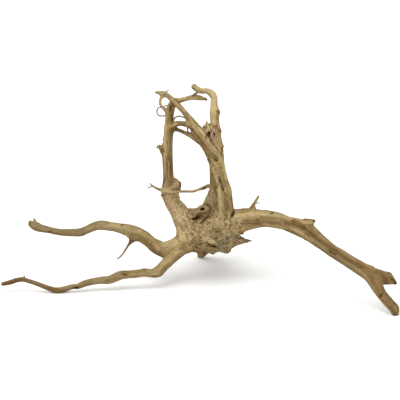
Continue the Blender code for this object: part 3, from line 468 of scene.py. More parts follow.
PINK_PATCHES = [
    (-36, 160, -28, 163, 6, 0.45), (-38, 152, -30, 130, 8, 0.3), (-26, 122, -16, 112, 8, 0.25),
    (-22, 114, -17, 112, 3, 0.7), (-21, 107, -20, 107, 2.4, 0.7), (0, 106, 12, 100, 7, 0.3),
    (14, 144, 20, 120, 6, 0.35), (13, 222, 22, 236, 5, 0.5), (46, 97, 50, 92, 3, 0.5),
    (6, 156, 12, 150, 5, 0.3), (42, 110, 48, 112, 2, 0.3), (8, 138, 15, 132, 4, 0.45),
    (41, 128, 43, 131, 2.2, 0.6), (11, 219, 16, 216, 2.4, 0.45), (9, 224, 11, 228, 2.6, 0.6),
    (-38, 274.6, -33, 270.6, 1.5, 0.6), (48, 94, 51.6, 95.6, 1.6, 0.7), (10, 177, 14, 168, 2.6, 0.3),
]
ORANGE_PATCHES = [
    (50.6, 105.4, 52.4, 105, 1.8, 0.9), (44, 107, 50, 108, 1.8, 0.5), (49, 129.4, 54, 129.4, 1.2, 0.7),
    (31.6, 114, 33, 113.8, 1.4, 0.6), (37, 113.8, 38.6, 113.4, 1.2, 0.6), (15, 86, 18, 85.6, 1.6, 0.6),
    (16.6, 237.6, 18.4, 237.4, 1.9, 0.6), (23, 232, 24.4, 230, 1.7, 0.6), (21.8, 256, 23, 252, 1.5, 0.55),
    (25, 190, 27, 186, 2, 0.2), (0, 82, 6, 80, 1.6, 0.6), (-38, 234.6, -30, 237.6, 2, 0.35),
    (-94, 52.6, -92, 51.6, 1.4, 0.6), (-178, 32.6, -188, 34.8, 1.6, 0.6),
]
# Pale patches: pale wood, and painted highlights along the raised ridges
PALE_AND_HIGHLIGHT_PATCHES = [
    (-9, 240, 4, 229, 1.9, 0.85), (4, 229, 14, 214.6, 1.5, 0.95), (14, 214.6, 23.6, 202, 1.4, 0.9),
    (23.6, 202, 27, 190, 1.4, 0.5), (14, 190, 22, 168, 1.6, 0.6), (23, 160, 26, 124, 1.9, 0.75),
    (6, 98, 18, 92, 2.6, 0.9), (10, 112, 15, 108, 2.6, 0.6), (16.4, 278, 16.4, 244, 4.6, 0.95),
    (-4, 286, 14, 281, 3.2, 0.6), (-48, 277, -26, 254, 3.6, 0.6), (-22, 267.4, 2, 273.4, 2.6, 0.7),
    (-34, 150, -20, 108, 11, 0.4), (22, 118, 40, 110, 6, 0.35), (66, 134, 72, 152, 2.4, 0.2),
    (-48, 275, -50.4, 264, 1.8, 0.8), (-50.4, 264, -41, 255, 1.8, 0.7), (36, 93.6, 44, 99, 1.6, 0.45),
    (28, 86, 36, 86, 2.0, 0.3), (26, 104, 40, 106, 2.0, 0.4), (24, 92, 44, 96, 8, 0.3),
    (-6, 86, 14, 82, 4, 0.25), (47.4, 107.8, 50.4, 108.6, 1.2, 0.8), (2, 276, 12, 271, 1.6, 0.5),
    (-14, 250, -8, 240, 1.2, 0.5), (40, 123, 64, 127, 4.4, 0.6), (64, 129, 98, 125.6, 3, 0.45),
    (98, 125.6, 140, 117, 2.2, 0.4), (150, 100, 208, 63, 1.8, 0.4), (-44, 90, -24, 94, 5, 0.5),
    (-44, 66, -30, 78, 3, 0.4), (-28, 104, -20, 98, 5, 0.5), (-24, 130, -26, 118, 4, 0.4),
    (7, 134, 10, 136, 2.4, 0.5), (-44, 240, -44, 180, 1.6, 0.45), (-76, 106, -58, 96, 2.6, 0.4),
    (-130, 116, -100, 113.6, 1.8, 0.3), (120, 117.6, 136, 116, 2.2, 0.4), (-26, 170, -30, 163, 2.6, 0.4),
    (20, 178, 22, 176, 2, 0.4), (-14, 156, 0, 158, 1, 0.4), (-45, 156, -28, 152, 5, 0.55),
    (-17, 95, -10, 86, 5, 0.5), (26, 196, 33, 172, 2.6, 0.5), (21.6, 236, 25, 206, 2.2, 0.5),
    (-41, 264, -40.6, 250, 2.6, 0.5), (-36, 272, -20, 256, 1.7, 0.75), (-27, 270.6, -18, 270.6, 1.8, 0.5),
    (50, 106, 74, 111, 2.6, 0.5), (28, 83, 37, 83, 2.6, 0.4), (44, 99, 49, 99, 1.8, 0.5),
    (-2, 78, 4, 74, 2.6, 0.45), (-66, 60, -54, 52, 4, 0.4), (231, 57, 242, 48, 2.2, 0.5),
    (0, 272.6, 6, 271.4, 1.4, 0.6), (9, 194, 14, 182, 3, 0.35), (-4, 236, 6, 226, 2.6, 0.6),
    (7, 225.6, 16, 212, 1.5, 0.9), (13.6, 196.4, 21, 187, 1.7, 0.7), (-9, 238, -6.6, 236.6, 1.4, 0.9),
    (-38, 239, -36.4, 236.4, 1.0, 0.9), (-36.4, 236.4, -28, 240.8, 1.1, 0.9),
    (-31.4, 241, -30.8, 245.4, 1.0, 0.9),
]
PATCHES = {
    "dark_and_shade": DARK_PATCHES, "grey": GREY_PATCHES, "pink": PINK_PATCHES,
    "orange": ORANGE_PATCHES, "pale": PALE_AND_HIGHLIGHT_PATCHES,
}

# Fibres lying on torn wood: across and up of two opposite corners, number, direction in the
# front view, how far the tip lifts towards the viewer, shortest and longest, thinnest and
# thickest, how pale
FIBRES = [
    (8, 231, 14, 238, 14, (-0.4, 1.0), 2.0, (3, 7), (0.6, 1.1), 0.8),
    (18, 216, 23, 231, 12, (0.05, 1.0), 1.2, (4, 9), (0.6, 1.1), 0.7),
    (12, 212, 20, 220, 10, (0.0, 1.0), 0.6, (4, 8), (0.5, 0.9), 0.6),
    (-8, 82, 8, 88, 22, (0.9, -0.4), 1.2, (4, 8), (0.5, 1.1), 0.8),
    (2, 86, 16, 98, 24, (1.0, -0.5), 2.0, (6, 13), (0.6, 1.2), 1.0),
    (6, 80, 18, 85, 12, (1.0, -0.2), 1.6, (3, 6), (0.5, 1.1), 0.8),
    (0, 98, 22, 116, 34, (1.0, 0.35), 0.6, (5, 10), (0.45, 0.9), 0.6),
    (20, 84, 40, 100, 24, (1.0, 0.5), 0.5, (7, 14), (0.6, 1.1), 0.7),
    (20, 106, 42, 120, 26, (0.7, 0.7), 0.5, (5, 11), (0.45, 0.9), 0.7),
    (-34, 98, -8, 140, 34, (0.3, -1.0), 0.3, (3, 6), (0.4, 0.8), 0.5),
    (36, 88, 50, 97, 10, (1.0, 0.1), 0.8, (5, 9), (0.5, 1.0), 0.5),
    (232, 43, 240, 54, 12, (1.0, -0.35), 0.6, (2, 5), (0.4, 0.8), 0.4),
    (-2, 200, 14, 226, 16, (0.6, -1.0), 0.3, (9, 18), (0.5, 0.9), 0.7),
    (12, 176, 19, 190, 12, (0.5, -1.0), 0.3, (9, 16), (0.5, 0.9), 0.6),
    (14, 130, 34, 164, 20, (0.12, -1.0), 0.3, (10, 20), (0.5, 0.9), 0.6),
    (-46, 176, -36, 240, 18, (0.0, -1.0), 0.2, (12, 24), (0.4, 0.8), 0.5),
    (-48, 208, -45, 215, 8, (-0.7, 0.4), 1.0, (2, 5), (0.4, 0.8), 0.2),
]
# Splinters drawn one by one: across and up of root, middle and tip, lift, thickness, how pale
SLIVERS = [
    (4, 94.4, 12, 94, 21.6, 90.6, 1.6, 1.5, 1.1), (9, 92.6, 14, 91, 20.6, 89.4, 1.0, 1.0, 0.5),
    (3.6, 92, 7.4, 89.6, 11.6, 87, 1.6, 1.1, 1.1), (2.4, 89.6, 6, 87, 10, 84.4, 1.4, 1.0, 0.8),
    (9, 86.4, 14, 84.6, 20, 84.2, 1.4, 1.0, 0.8), (-1, 86.4, 3, 84, 7, 81.4, 1.2, 0.9, 0.9),
    (-6, 83.6, -2, 82, 3, 78.6, 1.2, 1.0, 0.6), (12.4, 231, 9.8, 236, 7.8, 242.4, 1.2, 1.2, 0.9),
    (10.4, 230, 7, 234.4, 4, 238.4, 1.2, 1.1, 0.8), (9.4, 229.6, 6, 232, 1.8, 234.4, 1.4, 1.0, 0.6),
    (13.8, 221, 14.2, 227, 13, 233, 1.6, 1.2, 1.1), (15.4, 219.6, 15.4, 222, 14.6, 225, 1.0, 0.9, 1.0),
    (19.6, 219, 19.8, 225, 18.6, 231, 1.0, 1.0, 0.9), (12.4, 233, 10.8, 237, 10, 240.4, 0.8, 1.0, 0.8),
    (14.8, 232.6, 14, 235.4, 12.6, 237.6, 0.8, 1.0, 0.9),
    (6.2, 235, 7.4, 239.6, 8.3, 243.6, 0.6, 1.7, 0.7), (25.6, 212, 28, 213.2, 29.8, 213, 0.0, 0.8, 0.5),
    (-43, 155.4, -46.4, 153, -49.2, 150.6, 0.2, 2.4, 0.4),
    (-43, 148, -46, 149.6, -49, 150.4, 0.2, 2.4, 0.4), (10.8, 235, 9.6, 239.4, 8.5, 243.2, 0.6, 1.7, 0.9),
    (8.6, 228, 5, 233.4, 3, 236.4, 1.6, 1.0, 1.0), (15, 228, 17.6, 223, 18.4, 219.4, 1.4, 1.0, 1.0),
    (21, 204.6, 23.4, 201.6, 24.2, 198.6, 0.8, 1.0, 0.8),
    (-46.6, 209, -49, 210.6, -51.6, 209.4, 0.6, 0.9, 0.0),
    (46.6, 106.4, 48.8, 108.4, 52.6, 108, 0.4, 0.9, 0.9),
    (26, 190.6, 27.4, 188.4, 25.8, 186.4, 0.6, 0.9, 0.5), (40, 97.6, 37.4, 94.6, 34, 92.6, 0.4, 0.9, 0.4),
    (44, 101, 38, 99.4, 33, 95, 0.4, 0.9, 0.5),
]
# How fibres run: points in each, sway, depth of the root, how far they may stray or jump
FIBRE_STEPS = 6
FIBRE_WAVE = 0.09
FIBRE_SUNK = 0.35
FIBRE_STRAY = 0.6
FIBRE_JUMP = 4
FIBRE_TURN = 0.22
FIBRE_SEED = 20
# Steps from in front of the wood to its surface, and how near counts as met
MARCH_START = -75.0
MARCH_STEPS = 50
MARCH_NEAR = 0.5


def stand(point):
    """Turn a point of the front view into the standing frame, in millimetres."""
    across, up, back = point[:3]
    near = 1 + back / VIEW_DISTANCE
    high = VIEW_CENTRE_UP + (up - VIEW_CENTRE_UP) * near
    y = high * math.sin(VIEW_TILT) + back * math.cos(VIEW_TILT)
    z = high * math.cos(VIEW_TILT) - back * math.sin(VIEW_TILT)
    return (across * near - ORIGIN_SHIFT[0], y - ORIGIN_SHIFT[1], z - ORIGIN_SHIFT[2])


def front_view(points):
    """Across and up in the front view, of points in the standing frame."""
    x, y, z = (points + np.array(ORIGIN_SHIFT)).T
    high = y * math.sin(VIEW_TILT) + z * math.cos(VIEW_TILT)
    back = y * math.cos(VIEW_TILT) - z * math.sin(VIEW_TILT)
    near = 1 + back / VIEW_DISTANCE
    return x / near, VIEW_CENTRE_UP + (high - VIEW_CENTRE_UP) / near


def facing(normal, least, span):
    """0 where the wood faces the viewer less than least, rising to 1 over a span."""
    return np.clip((-normal @ VIEW_DIRECTION - least) / span, 0, 1)


def unit(vectors):
    return vectors / np.maximum(np.linalg.norm(vectors, axis=1), 1e-6)[:, None]


def inside_box(points):
    """Keep points in millimetres inside the solid model's box."""
    return np.clip(points, np.array(cad_box[0]) / MM, np.array(cad_box[1]) / MM)


def follow(route, steps=ROUTE_STEPS):
    """Smooth curve through a route: rows of x, y, z, radius."""
    knots = np.array([stand(p) + (p[3],) for p in route], dtype=float)
    knots = np.vstack([2 * knots[0] - knots[1], knots, 2 * knots[-1] - knots[-2]])
    rows = []
    for a, b, c, d in zip(knots[:-3], knots[1:-2], knots[2:-1], knots[3:]):
        for t in np.linspace(0, 1, steps, endpoint=False):
            rows.append(0.5 * (2 * b + (c - a) * t + (2 * a - 5 * b + 4 * c - d) * t * t
                               + (3 * b - a - 3 * c + d) * t ** 3))
    rows = np.array(rows + [knots[-2]])
    rows[:, 3] = np.maximum(rows[:, 3], LEAST_RADIUS)
    return rows


def new_object(name, data, place=(0, 0, 0)):
    obj = bpy.data.objects.new(name, data)
    obj.location = place
    bpy.context.scene.collection.objects.link(obj)
    return obj


def new_mesh(name, verts, faces):
    mesh = bpy.data.meshes.new(name)
    mesh.from_pydata(verts, [], faces)
    return new_object(name, mesh)


def tube_faces(rings, sides, first):
    """Quads between rings and a fan at each end; the two end points come last."""
    faces = []
    for ring in range(rings - 1):
        low = first + ring * sides
        for k in range(sides):
            n = (k + 1) % sides
            faces.append((low + k, low + n, low + sides + n, low + sides + k))
    tip = first + rings * sides
    last = first + (rings - 1) * sides
    for k in range(sides):
        n = (k + 1) % sides
        faces.append((tip, first + n, first + k))
        faces.append((tip + 1, last + k, last + n))
    return faces


def tube(rows, sides, shape=None):
    """Points of a closed tube, their offsets from its axis and how far along it they are."""
    path = rows[:, :3]
    tangent = unit(np.gradient(path, axis=0))
    run = np.concatenate([[0], np.cumsum(np.linalg.norm(np.diff(path, axis=0), axis=1))])
    side = Vector(tangent[0]).orthogonal().normalized()
    verts = []
    rings = []
    runs = []
    for i, (centre, along, r) in enumerate(zip(path, tangent, rows[:, 3])):
        along = Vector(along)
        side = (side - along * side.dot(along)).normalized()
        other = along.cross(side)
        for k in range(sides):
            angle = 2 * math.pi * k / sides
            ring = side * math.cos(angle) + other * math.sin(angle)
            if shape:
                ring = shape(ring, side, other, run[i])
            verts.append(Vector(centre) + ring * r)
            rings.append(ring * r)
            runs.append(run[i])
    for at, sign in ((0, -1), (-1, 1)):
        verts.append(Vector(path[at]) + Vector(tangent[at]) * rows[at, 3] * TUBE_CAP * sign)
        rings.append(Vector((0, 0, 0)))
        runs.append(run[at])
    return verts, rings, runs


def limb_field(points, rows):
    """Distance to one limb, the offset from its axis, how far along it is and its radius."""
    a = rows[:-1]
    b = rows[1:]
    axis = b[:, :3] - a[:, :3]
    length = np.linalg.norm(axis, axis=1)
    run = np.concatenate([[0], np.cumsum(length)])
    best = np.full(len(points), FAR)
    out = np.zeros((len(points), 3))
    along = np.zeros(len(points))
    thick = np.ones(len(points))
    for i in range(len(a)):
        taper = np.clip((a[i, 3] - b[i, 3]) / length[i], -STEEPEST_TAPER, STEEPEST_TAPER)
        lean = taper / math.sqrt(1 - taper ** 2)
        offset = points - a[i, :3]
        reach = offset @ axis[i] / length[i]
        aside = np.sqrt(np.maximum((offset ** 2).sum(axis=1) - reach ** 2, 0))
        t = np.clip((reach - aside * lean) / length[i], 0, 1)
        off = offset - t[:, None] * axis[i]
        gap = np.linalg.norm(off, axis=1)
        r = a[i, 3] + t * (b[i, 3] - a[i, 3])
        nearer = gap - r < best
        best[nearer] = (gap - r)[nearer]
        out[nearer] = off[nearer]
        along[nearer] = (run[i] + t * length[i])[nearer]
        thick[nearer] = r[nearer]
    return best, out, along, thick


def wood_field(points, limbs):
    """Smooth union of all limbs, the values of the nearest limb, and how clearly it is nearest."""
    total = np.zeros(len(points))
    push = np.zeros((len(points), 3))
    nearest = np.full(len(points), FAR)
    second = np.full(len(points), FAR)
    out = np.zeros((len(points), 3))
    along = np.zeros(len(points))
    thick = np.ones(len(points))
    for number, rows in enumerate(limbs):
        low = (rows[:, :3] - rows[:, 3:]).min(axis=0) - FIELD_REACH
        high = (rows[:, :3] + rows[:, 3:]).max(axis=0) + FIELD_REACH
        near = np.nonzero(((points > low) & (points < high)).all(axis=1))[0]
        if not len(near):
            continue
        d, off, s, r = limb_field(points[near], rows)
        weight = np.exp(-np.clip(d, -40, 40) / BLEND)
        total[near] += weight
        push[near] += unit(off) * weight[:, None]
        second[near] = np.minimum(second[near], np.maximum(d, nearest[near]))
        closer = d < nearest[near]
        pick = near[closer]
        nearest[pick] = d[closer]
        out[pick] = off[closer]
        along[pick] = s[closer] + GRAIN_SHIFT * number
        thick[pick] = r[closer]
    total = np.maximum(total, 1e-12)
    return -BLEND * np.log(total), push / total[:, None], out, along, thick, second - nearest


def stroke(x, up, line, radius):
    """1 on a short line of the front view, falling to 0 at its radius."""
    x0, u0, x1, u1 = line
    run = np.array([x1 - x0, u1 - u0])
    t = np.clip(((x - x0) * run[0] + (up - u0) * run[1]) / max(run @ run, 1e-9), 0, 1)
    gap = np.hypot(x - x0 - t * run[0], up - u0 - t * run[1]) / radius
    return np.clip(1 - gap ** 2, 0, 1) ** 2


def dents(points, normal, marks):
    """How far each point is pressed away from the viewer, and how dark the painted shade of the pressed
    wood is.
    """
    x, up = front_view(points)
    shown = facing(normal, DENT_FACING, DENT_SOFT)
    depth = np.zeros(len(points))
    dark_and_shade = np.zeros(len(points))
    for *line, radius, deep in marks:
        on = stroke(x, up, line, radius) * shown
        depth += deep * on
        dark_and_shade = np.maximum(dark_and_shade, on * min(deep / HOLE_SHADE_DEPTH, 1))
    return depth, dark_and_shade


def patches(points, normal, marks, ragged):
    """Strength of a colour on each point, with ragged edges."""
    x, up = front_view(points)
    shown = facing(normal, *PATCH_FACING)
    tint = np.zeros(len(points))
    for *line, radius, strong in marks:
        on = stroke(x, up, line, radius * PATCH_SPREAD) * shown
        edge = ragged * 0.5 * (on > 0.02)
        tint = np.maximum(tint, strong * np.clip(on * 1.6 + edge, 0, 1))
    return tint


def rough_places(points, on_burl):
    """How lumpy and mottled the wood is: all of the burl, and patches seen from the front."""
    x, up = front_view(points)
    rough = 0.5 * on_burl
    for *line, radius, strong in ROUGH_PATCHES:
        on = np.clip(2 * stroke(x, up, line, radius * ROUGH_SPREAD), 0, 1)
        rough = np.maximum(rough, strong * on)
    return rough


def noises(vectors, seed):
    """Smooth noise, from -1 to 1, at each vector."""
    shift = Vector((seed * 13.7, seed * 7.1, seed * 3.3))
    return np.array([noise.noise(Vector(v) + shift) for v in vectors])


def set_attribute(mesh, name, values):
    """Store a number or a vector for each point, in place of what it had."""
    kind, field = ("FLOAT", "value") if values.ndim == 1 else ("FLOAT_VECTOR", "vector")
    layer = mesh.attributes.get(name) or mesh.attributes.new(name, kind, "POINT")
    layer.data.foreach_set(field, values.astype(np.float32).ravel())


def mark_wood(mesh, points, normal, ring, run, clear, hollow_shade, dark_and_shade, dent_shade, lumpy):
    """Store what the wood material reads: grain directions, painted shade in hollows, holes and on
    downward faces, and patches of colour that are partly painted highlight and shade.
    """
    ragged = noises(points / RAGGED_SIZE, 5)
    tints = {key: patches(points, normal, marks, ragged) for key, marks in PATCHES.items()}
    # Painted shade in the solid model's dents, at half strength, joins the dark patches
    tints["dark_and_shade"] = np.clip(np.maximum(tints["dark_and_shade"], 0.5 * dent_shade), 0, 1)
    values = {
        "ring": ring, "run": run, "clear": np.clip(clear / CLEAR_GAP, 0, 1), "hollow_shade": hollow_shade,
        "lumpy": lumpy * (REAR_LUMPY + (1 - REAR_LUMPY) * facing(normal, *LUMPY_FACING)),
        # Painted shade on faces turned downwards, and painted black shade in fine holes
        "underside_shade": np.clip(0.15 - normal[:, 2], 0, 1), "hole": np.clip(dark_and_shade, 0, 1), **tints,
    }
    for key, value in values.items():
        set_attribute(mesh, key, value)


def melt(name, limbs):
    """One fine mesh of all limbs, carved with flutes, grooves, wrinkles, pores and holes."""
    verts = []
    faces = []
    for rows in limbs:
        faces += tube_faces(len(rows), LIMB_SIDES, len(verts))
        verts += tube(rows, LIMB_SIDES)[0]
    obj = new_mesh(name, [v * MM for v in verts], faces)
    remesh = obj.modifiers.new("melt", "REMESH")
    remesh.mode = "VOXEL"
    remesh.voxel_size = VOXEL * MM
    graph = bpy.context.evaluated_depsgraph_get()
    mesh = bpy.data.meshes.new_from_object(obj.evaluated_get(graph))
    obj.modifiers.clear()
    obj.data = mesh
    points = np.array([v.co for v in mesh.vertices]) / MM
    for _ in range(SETTLE_ROUNDS):
        d, push = wood_field(points, limbs)[:2]
        steep = np.maximum((push ** 2).sum(axis=1), 0.25)
        points = points - push * np.clip(d / steep, -SETTLE_STEP, SETTLE_STEP)[:, None]
    _, push, off, along, thick, clear = wood_field(points, limbs)
    normal = unit(push)

    # The same flutes and lumps as the solid model
    from_burl = np.linalg.norm(points - np.array(stand(BURL_CENTRE)), axis=1)
    on_burl = np.clip((BURL_REACH + BURL_EDGE / 2 - from_burl) / BURL_EDGE, 0, 1)
    climb = np.zeros((len(points), 3))
    climb[:, 2] = along / FLUTE_LENGTH
    flute = noises(unit(off) * FLUTE_TURN + climb, 0)
    rise = flute * np.minimum(thick, FLUTE_THICKEST) * FLUTE_DEPTH * FLUTE_GAIN * (1 - 0.5 * on_burl)
    rise += on_burl * BURL_RELIEF * noises(points / BURL_GRAIN, 0)

    # Finer cords and grooves along the grain, wrinkles, pores and pits on lumpy wood
    lumpy = rough_places(points, on_burl)
    stout = np.clip(thick / FULL_RELIEF, 0.3, 1)
    slim = stout * (np.clip(clear / CLEAR_GAP, 0, 1) * (1 - 0.6 * lumpy))
    climb[:, 2] = along / CORD_LENGTH
    cord = noises(off / CORD_WIDTH + climb, 1)
    climb[:, 2] = along / GROOVE_LENGTH
    groove = noises(off / GROOVE_WIDTH + climb, 2)
    fine = (CORD_LEVEL - np.abs(cord)) * CORD_DEPTH * slim
    fine -= np.maximum(groove, 0) * GROOVE_DEPTH * slim
    twist = np.stack([noises(points / TWIST_SIZE, seed) for seed in (7, 8, 9)], axis=1)
    wrinkle = np.abs(noises((points + twist * WRINKLE_TWIST) / WRINKLE_SIZE, 3))
    pore = np.minimum(noises(points / PORE_SIZE, 4), 0)
    fine += lumpy * ((WRINKLE_LEVEL - wrinkle) * WRINKLE_DEPTH + pore * PORE_DEPTH)
    pit = np.maximum(noises(points / PIT_SIZE, 6) - PIT_LEVEL, 0)
    fine -= pit * PIT_DEPTH * stout * 2
    points = points + normal * (rise + fine)[:, None]

    # The dents give painted shade as well as depth
    depth, dent_shade = dents(points, normal, DENTS)
    cut, dark_and_shade = dents(points, normal, FINE_DENTS)
    lift, crest = dents(points, normal, RIDGES)
    points = inside_box(points + (depth + cut - lift)[:, None] * VIEW_DIRECTION)
    mesh.vertices.foreach_set("co", (points * MM).ravel())
    mesh.shade_smooth()
    # Painted shade in grooves, pores, pits and flute troughs, taken off ridges and weaker on lumpy wood
    hollow_shade = np.clip(-fine / 0.9, 0, 1) * 0.8 + np.clip(-rise / 2.5, 0, 1) * 0.3
    hollow_shade = np.clip(hollow_shade - 3 * crest, 0, 1) * (1 - 0.45 * lumpy)
    mark_wood(mesh, points, normal, off, along, clear, hollow_shade, dark_and_shade, dent_shade, lumpy)
    return obj


def fine_tubes(name, strands, flat=1.0, wobble=0.0, seed=0, tones=None):
    """Thin twigs or splinters as one mesh of closed tubes, each from rows of x, y, z, radius."""
    verts = []
    faces = []
    rings = []
    runs = []

    def shape(ring, side, other, run):
        lump = 1 + wobble * noise.noise(ring * 1.3 + Vector((0, 0, run / 2.5 + seed)))
        return (side * ring.dot(side) + other * ring.dot(other) * flat) * lump

    for rows in strands:
        faces += tube_faces(len(rows), FINE_SIDES, len(verts))
        for whole, more in zip((verts, rings, runs), tube(rows, FINE_SIDES, shape)):
            whole.extend(more)
    points = inside_box(np.array(verts))
    obj = new_mesh(name, points * MM, faces)
    obj.data.shade_smooth()
    ring = np.array(rings)
    none = np.zeros(len(points))
    mark_wood(obj.data, points, unit(ring), ring, np.array(runs), none + CLEAR_GAP,
              none, none, none, none)
    if tones is not None:
        sizes = [len(rows) * FINE_SIDES + 2 for rows in strands]
        set_attribute(obj.data, "pale", np.repeat(np.clip(tones, 0, 1), sizes))
        set_attribute(obj.data, "dark_and_shade", none)
    return obj


def first_surface(x, up, limbs):
    """How far back the wood begins, seen from the front at each x, up, and whether it does."""
    back = np.full(len(x), MARCH_START)
    for _ in range(MARCH_STEPS):
        gap = wood_field(np.stack(stand((x, up, back)), axis=1), limbs)[0]
        back = back + np.clip(gap, -1, 4)
    return back, np.abs(gap) < MARCH_NEAR


def surface_fibres(limbs):
    """Wavy fibres that follow the wood as the front view meets it; rows of each, and how pale."""
    rng = np.random.default_rng(FIBRE_SEED)
    t = np.linspace(0, 1, FIBRE_STEPS)
    groups = []
    for x0, u0, x1, u1, number, run, lift, lengths, sizes, tone in FIBRES:
        start = rng.uniform((x0, u0), (x1, u1), (number, 2))
        angle = math.atan2(run[1], run[0]) + rng.normal(0, FIBRE_TURN, number)
        long = rng.uniform(*lengths, number)
        sway = FIBRE_WAVE * long * rng.uniform(0.3, 1.6, number)
        sway = np.sin(rng.uniform(0, 2 * math.pi, number)[:, None] + t * 2.6) * sway[:, None]
        ahead = np.stack([np.cos(angle), np.sin(angle)], axis=1)
        aside = ahead[:, ::-1] * (-1, 1)
        path = (start[:, None] + ahead[:, None] * (t * long[:, None])[..., None]
                + aside[:, None] * sway[..., None])
        groups.append((path, rng.uniform(*sizes, number), lift * rng.uniform(0.2, 1.2, number),
                       tone * rng.uniform(0.2, 1.3, number)))
    for x0, u0, x1, u1, x2, u2, lift, size, tone in SLIVERS:
        first, middle, last = np.array((x0, u0)), np.array((x1, u1)), np.array((x2, u2))
        bend = 2 * middle - (first + last) / 2
        ahead = 1 - t[:, None]
        path = ahead ** 2 * first + 2 * (t[:, None] * ahead) * bend + t[:, None] ** 2 * last
        groups.append((path[None], np.array([size]), np.array([lift]), np.array([tone])))
    path, size, lift, tone = (np.concatenate(part) for part in zip(*groups))
    x, up = path[..., 0], path[..., 1]
    back, met = (v.reshape(x.shape) for v in first_surface(x.ravel(), up.ravel(), limbs))
    for k in range(3, FIBRE_STEPS):
        lost = ~met[:, k] | (np.abs(back[:, k] - back[:, k - 1]) > FIBRE_JUMP)
        back[lost, k] = 2 * back[lost, k - 1] - back[lost, k - 2]
    back += size[:, None] * FIBRE_SUNK - lift[:, None] * t ** 2
    thin = size[:, None] * np.clip(0.5 + 3 * t, 0, 1) * (1.08 - t) ** 0.6
    points = np.stack(stand((x.ravel(), up.ravel(), back.ravel())), axis=1)
    stray = wood_field(points, limbs)[0].reshape(back.shape).max(axis=1)
    kept = met[:, :3].all(axis=1) & (stray < FIBRE_STRAY + lift)
    kept[-len(SLIVERS):] = met[-len(SLIVERS):, 0]
    routes = np.stack([x, up, back, thin], axis=2)[kept]
    return [follow(route, 2) for route in routes], tone[kept]


def node(tree, kind, inputs, **settings):
    """Add a node, in columns of ten. Its inputs are numbers, colours or other nodes' sockets."""
    column, row = divmod(len(tree.nodes), 10)
    made = tree.nodes.new(kind)
    made.location = (250 * column - 2500, 900 - 220 * row)
    for key, value in settings.items():
        setattr(made, key, value)
    for key, value in inputs.items():
        if isinstance(value, bpy.types.NodeSocket):
            tree.links.new(value, made.inputs[key])
        else:
            made.inputs[key].default_value = value + (1,) if isinstance(value, tuple) else value
    return made


def attribute(tree, name, output="Fac"):
    settings = {"attribute_name": name, "attribute_type": "GEOMETRY"}
    return node(tree, "ShaderNodeAttribute", {}, **settings).outputs[output]


def arithmetic(tree, operation, a, b):
    return node(tree, "ShaderNodeMath", {0: a, 1: b}, operation=operation).outputs[0]


def times(tree, first, *factors):
    for factor in factors:
        first = arithmetic(tree, "MULTIPLY", first, factor)
    return first


def weighted(tree, first, *others):
    """Sum of sockets, each times its weight."""
    total = times(tree, *first)
    for other in others:
        total = arithmetic(tree, "ADD", total, times(tree, *other))
    return total


def ramp(tree, factor, stops):
    made = node(tree, "ShaderNodeValToRGB", {"Fac": factor})
    band = made.color_ramp
    while len(band.elements) < len(stops):
        band.elements.new(0.5)
    for element, (at, colour) in zip(band.elements, stops):
        element.position = at
        element.color = colour + (1,)
    return made.outputs["Color"]


def grain_noise(tree, across, along, detail=4.0, rough=0.55):
    """Noise stretched along the limb: scales per millimetre across the grain and along it."""
    inputs = {
        "Scale": across, "Detail": detail, "Roughness": rough,
        "Vector": attribute(tree, "ring", "Vector"),
        "W": times(tree, attribute(tree, "run"), along / across),
    }
    return node(tree, "ShaderNodeTexNoise", inputs, noise_dimensions="4D").outputs["Fac"]


def lump_noise(tree, size, detail=4.0, rough=0.6):
    """Noise in the object's own space, for marks of about size metres."""
    coords = node(tree, "ShaderNodeTexCoord", {}).outputs["Object"]
    inputs = {"Scale": 1 / size, "Detail": detail, "Roughness": rough, "Vector": coords}
    return node(tree, "ShaderNodeTexNoise", inputs).outputs["Fac"]


def over(tree, factor, base, top, kind="MIX"):
    """Mix or multiply a colour, or a colour socket, over the base by a factor."""
    inputs = {"Factor": factor, "A": base, "B": top}
    settings = {"data_type": "RGBA", "blend_type": kind}
    return node(tree, "ShaderNodeMix", inputs, **settings).outputs["Result"]


